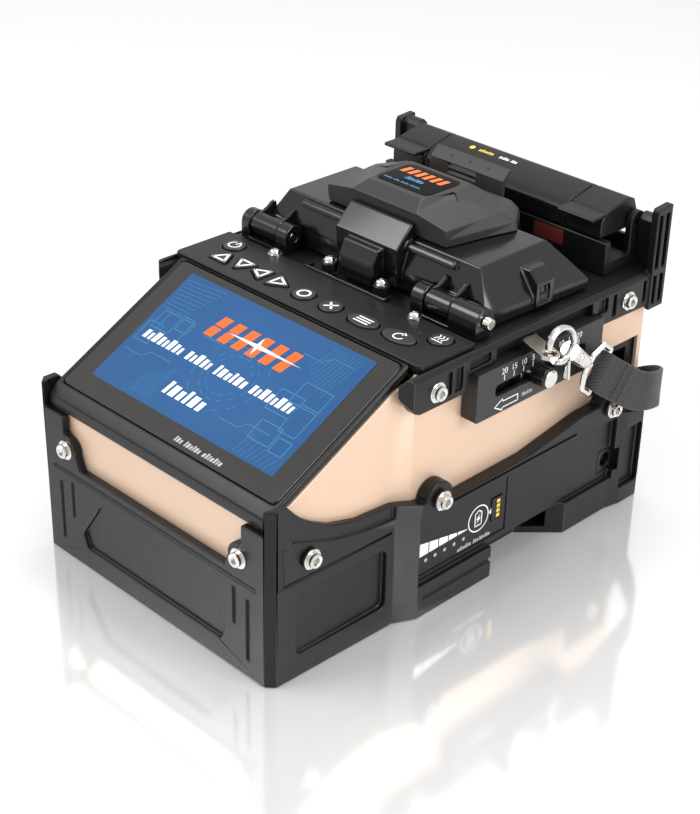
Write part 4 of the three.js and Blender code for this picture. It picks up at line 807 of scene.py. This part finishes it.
# ---------- screws in their places ----------
SIDE_SCREWS = {
    "side_1": (62.5, 16.8, 45.6),
    "side_2": (67.4, 73.6, 45.7),
    "side_3": (67.4, 167.1, 46.0),
    "rail_1": (65.0, 70.5, 87.8),
    "rail_2": (65.0, 172.4, 88.0),
}
BOSS_FOOT = 96.9
BOSS = [(3.0, 0, False), (3.0, 3.2, False), (2.7, 3.5, False), (0.2, 3.5, False)]
UPWARD = (0, 0, 1)
for side, word in ((1, "right"), (-1, "left")):
    socket_screw("screw_front_" + word, (46.1 * side, 0, 45.5), (0, -1, 0), "housing")
    for place, (x, y, z) in SIDE_SCREWS.items():
        socket_screw("screw_%s_%s" % (place, word), (x * side, y, z), (side, 0, 0), "housing")
    deck_screw("screw_deck_1_" + word, (35.3 * side, 90.2, 97.8), "housing")
    x, y = 13.1 * side, 96.6
    black = MATERIALS["satin_black"]
    turned_solid(
        "screw_boss_" + word, (x, y, BOSS_FOOT), UPWARD, BOSS, black, "housing"
    )
    deck_screw("screw_deck_2_" + word, (x, y, BOSS_FOOT + 3.5), "housing")


# ---------- fins from the hinge barrels to the cover ----------
FIN_HALF = 0.7


def fin(name, x):
    outline = [(99.2, 105.6), (101.4, 106.0), (103.4, 106.8), (105.2, 108.2), (106.6, 108.6)]
    outline += [(107.0, 107.0), (106.2, 104.6), (102.6, 103.4), (99.6, 104.4)]
    verts = [(x + off, y, z) for off in (-FIN_HALF, FIN_HALF) for y, z in outline]
    count = len(outline)
    faces = [list(range(count)), list(range(count, 2 * count))[::-1]]
    faces += wall(2, count)
    made = piece(name, verts, faces, MATERIALS["cover_black"], "cover")
    bpy.context.view_layer.update()
    rounded(made, 0.25, 2)


for i, x in enumerate((-53.6, -42, 35.6, 44.8)):
    fin("hinge_fin_%d" % i, x)


# ---------- strap ----------
WIDE, THICK = 15, 1.6
RELIEF = 0.2  # how far the yarns stand out
STEP = 0.45  # along the webbing, a quarter of a yarn
HOOK_MIDDLE = (117.6, 93.8)
HOOK_WAY = (0.784, -0.621)
HOOK_PLANE = 78
LEFT_DROP = 14.4  # the left hook hangs this much lower


def hook_point(along, aside):
    """A place in the right hook's plane, measured along the hook and across it."""
    y = HOOK_MIDDLE[0] + along * HOOK_WAY[0] - aside * HOOK_WAY[1]
    z = HOOK_MIDDLE[1] + along * HOOK_WAY[1] + aside * HOOK_WAY[0]
    return Vector((HOOK_PLANE, y, z))


def strap_route():
    """From the right hook behind the base to the left hook, lowest on its edge at the middle."""
    start = hook_point(32.1, 0)
    floor = WIDE / 2 + 1
    half = [
        start,
        Vector((78.6, start.y + 8, start.z - 5.6)),
        Vector((78.8, 164, 59.5)),
        Vector((78.4, 174, 55.5)),
        Vector((75, 184, 52)),
        Vector((68, 191.4, 47.5)),
        Vector((58, 196, 41)),
        Vector((40, 199, 29)),
        Vector((20, 200, 15)),
    ]
    share = 1 - LEFT_DROP / (start.z - floor)
    other = [Vector((-p.x, p.y, floor + (p.z - floor) * share)) for p in reversed(half)]
    return half + [Vector((0, 200.4, floor))] + other


def smooth_line(points, per_span):
    """Points along a Catmull-Rom curve through the given ones."""
    ends = [2 * points[0] - points[1]] + points + [2 * points[-1] - points[-2]]
    made = []
    for i in range(1, len(ends) - 2):
        a, b, c, d = ends[i - 1 : i + 3]
        for k in range(per_span):
            t = k / per_span
            bend = 2 * a - 5 * b + 4 * c - d
            twist = 3 * b - a - 3 * c + d
            made.append(0.5 * ((2 * b) + (c - a) * t + bend * t * t + twist * t**3))
    return made + [points[-1]]


def even_steps(line, step):
    """The same line, with its points a step apart."""
    made, left = [line[0]], step
    for a, b in zip(line, line[1:]):
        long = (b - a).length
        while long and left <= long:
            a = a + (b - a) * (left / long)
            long = (b - a).length
            made.append(a)
            left = step
        left -= long
    return made


def on_side(point, side):
    """A right-hand point, or its place on the lower left side."""
    return Vector(point) if side > 0 else Vector((-point.x, point.y, point.z - LEFT_DROP))


def webbing(name, line, across_at, body, wide=WIDE, thick=THICK):
    """Flat webbing along a line, its surface raised and lowered yarn by yarn."""
    columns = 44
    slope = 0.07  # the share of the half width over which each edge thins
    verts, yarns = [], []
    count = len(line)
    for i, point in enumerate(line):
        tangent = (line[min(i + 1, count - 1)] - line[max(i - 1, 0)]).normalized()
        across = across_at(i / (count - 1))
        across = (across - tangent * across.dot(tangent)).normalized()
        out = tangent.cross(across)
        for side in (-1, 1):
            for k in range(columns + 1):
                share = 2 * k / columns - 1
                edge = 1 - max(0, (abs(share) - 1 + slope) / slope) ** 2 * 0.55
                yarn = math.sin(i * math.pi / 2 + 0.8) * math.cos(share * wide * 2.2)
                lift = side * (thick / 2 - RELIEF + RELIEF * yarn) * edge
                yarns.append(0.5 + 0.5 * yarn)
                where = share if side > 0 else -share
                verts.append(point + across * where * wide / 2 + out * lift)
    loop = 2 * (columns + 1)
    faces = wall(count, loop)
    faces.append(list(range(loop))[::-1])
    faces.append(list(range((count - 1) * loop, count * loop)))
    made = piece(name, verts, faces, MATERIALS["webbing"], body)
    made.data.attributes.new("yarn", "FLOAT", "POINT").data.foreach_set("value", yarns)
    return made


STRAP_LINE = even_steps(smooth_line(strap_route(), 60), STEP)
ALONG_HOOK = Vector((0, HOOK_WAY[0], HOOK_WAY[1]))
ACROSS_HOOK = Vector((0, -HOOK_WAY[1], HOOK_WAY[0]))
OUTWARD = Vector((1, 0, 0))


def strap_across(share):
    """The way the webbing's width points: across the hook at its ends, upright between."""
    upright = min(min(share, 1 - share) * 6.4, 1)
    return ACROSS_HOOK.lerp(Vector((0, 0, 1)), upright)


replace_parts(webbing("strap_webbing", STRAP_LINE, strap_across, "housing"), "strap")


BAR_RADIUS = 1.05


def fold(word, side):
    """The strap's end round the swivel's bar and stitched back on itself."""
    bar = hook_point(29.6, 0)
    radius = BAR_RADIUS + 0.35 + THICK / 2
    line = []
    for step in range(0, 13):
        turn = math.radians(-80 + 160 * step / 12)
        line.append(bar - ALONG_HOOK * radius * math.cos(turn) + OUTWARD * radius * math.sin(turn))
    route = [STRAP_LINE[i] for i in (3, 11, 19, 27, 36)]
    line += [p + OUTWARD * (radius + 0.1 - 0.5 * i / 4) for i, p in enumerate(route)]
    line = [on_side(p, side) for p in line]
    smooth = even_steps(smooth_line(line, 8), STEP)
    return webbing("strap_fold_" + word, smooth, lambda share: ACROSS_HOOK, "housing", WIDE - 0.4, 1.3)


fold("right", 1)
fold("left", -1)


THREAD = 0.22
THREAD_OUT = 3.15  # how far the thread lies outside the strap's own line


def stitches(word, side):
    """Two rows of thread across the fold."""
    middles = []
    for row in (15, 24):
        base = STRAP_LINE[row]
        for k in range(9):
            share = (k - 4) / 4 * 0.84
            middles.append(base + ACROSS_HOOK * share * WIDE / 2 + OUTWARD * THREAD_OUT)
    verts, faces = [], []
    rows, around = 5, 6
    for middle in middles:
        start = len(verts)
        for step in range(-2, 3):
            rise = THREAD * math.cos(step * math.pi / 4.4)
            for turn in range(around):
                t = turn * math.pi / 3
                off = ALONG_HOOK * THREAD * math.cos(t) + OUTWARD * (THREAD * math.sin(t) + rise)
                verts.append(middle + ACROSS_HOOK * step * 0.32 + off)
        faces += wall(rows, around, start)
    verts = [on_side(v, side) for v in verts]
    return piece("stitches_" + word, verts, faces, MATERIALS["webbing"], "housing")


stitches("right", 1)
stitches("left", -1)


# ---------- hook details ----------
PIN_RINGS = [(1.7, 0, False), (1.7, 3.3, False), (1.45, 3.6, False)]
PIN_RINGS += [(0.9, 3.6, False), (0.7, 3.2, True), (0.1, 3.1, False)]
LEVER_SIDES = 10


def hook_lever(word, side):
    """The gate's thumb lever, and the pin that it turns on."""
    root, tip = hook_point(7.6, -2.2), hook_point(12.4, -8.4)
    line = smooth_line([root, hook_point(9.4, -4.6), tip], 6)
    thin = Vector((0, 0.78, 0.6)) * 0.55
    verts = []
    for i, p in enumerate(line):
        half = 1.0 + 0.5 * i / (len(line) - 1)
        for turn in range(LEVER_SIDES):
            t = turn * math.pi / 5
            verts.append(p + OUTWARD * half * math.cos(t) + thin * math.sin(t))
    faces = wall(len(line), LEVER_SIDES)
    faces.append(list(range(LEVER_SIDES))[::-1])
    faces.append(list(range((len(line) - 1) * LEVER_SIDES, len(line) * LEVER_SIDES)))
    verts = [on_side(v, side) for v in verts]
    chrome = MATERIALS["chrome"]
    piece("gate_lever_" + word, verts, faces, chrome, "snap_gate_" + word)
    pin = on_side(hook_point(10.6, 0), side)
    turned_solid("hook_pin_" + word, pin, (side, 0, 0), PIN_RINGS, chrome, "housing")


hook_lever("right", 1)
hook_lever("left", -1)


# ---------- floor and light ----------
def studio():
    mesh = bpy.data.meshes.new("floor")
    half, low = 3.0, -0.0002
    corners = [(x * half, y * half, low) for x, y in ((-1, -1), (1, -1), (1, 1), (-1, 1))]
    mesh.from_pydata(corners, [], [(0, 1, 2, 3)])
    nodes = Nodes("floor_white")
    tone = nodes.blend(nodes.noise(3, 2), (0.86, 0.86, 0.86), (0.90, 0.90, 0.90))
    nodes.link(tone, nodes.shader.inputs["Base Color"])
    nodes.shader.inputs["Roughness"].default_value = 0.1
    nodes.shader.inputs["IOR"].default_value = 1.7
    nodes.shader.inputs["Metallic"].default_value = 0.42
    mesh.materials.append(nodes.material)
    floor = bpy.data.objects.new("floor", mesh)
    bpy.context.scene.collection.objects.link(floor)
    world = bpy.data.worlds.new("studio")
    world.use_nodes = True
    sky = world.node_tree.nodes["Background"]
    sky.inputs["Color"].default_value = (1, 1, 1, 1)
    sky.inputs["Strength"].default_value = 0.85
    bpy.context.scene.world = world


def lamp(name, place, aim, size, power):
    data = bpy.data.lights.new(name, "AREA")
    data.shape = "RECTANGLE"
    data.size, data.size_y = size
    data.energy = power
    made = bpy.data.objects.new(name, data)
    made.location = place
    made.rotation_euler = (Vector(aim) - Vector(place)).to_track_quat("-Z", "Y").to_euler()
    bpy.context.scene.collection.objects.link(made)


studio()
lamp("key_light", (-0.5, -0.7, 0.9), (0, 0, 0.06), (0.7, 0.5), 8)
lamp("side_light", (0.9, 0.1, 0.55), (0, 0, 0.06), (0.5, 0.5), 6)
lamp("top_light", (0.0, 0.25, 0.9), (0, 0, 0.08), (0.6, 0.3), 3.5)
bpy.context.scene.view_settings.view_transform = "Standard"
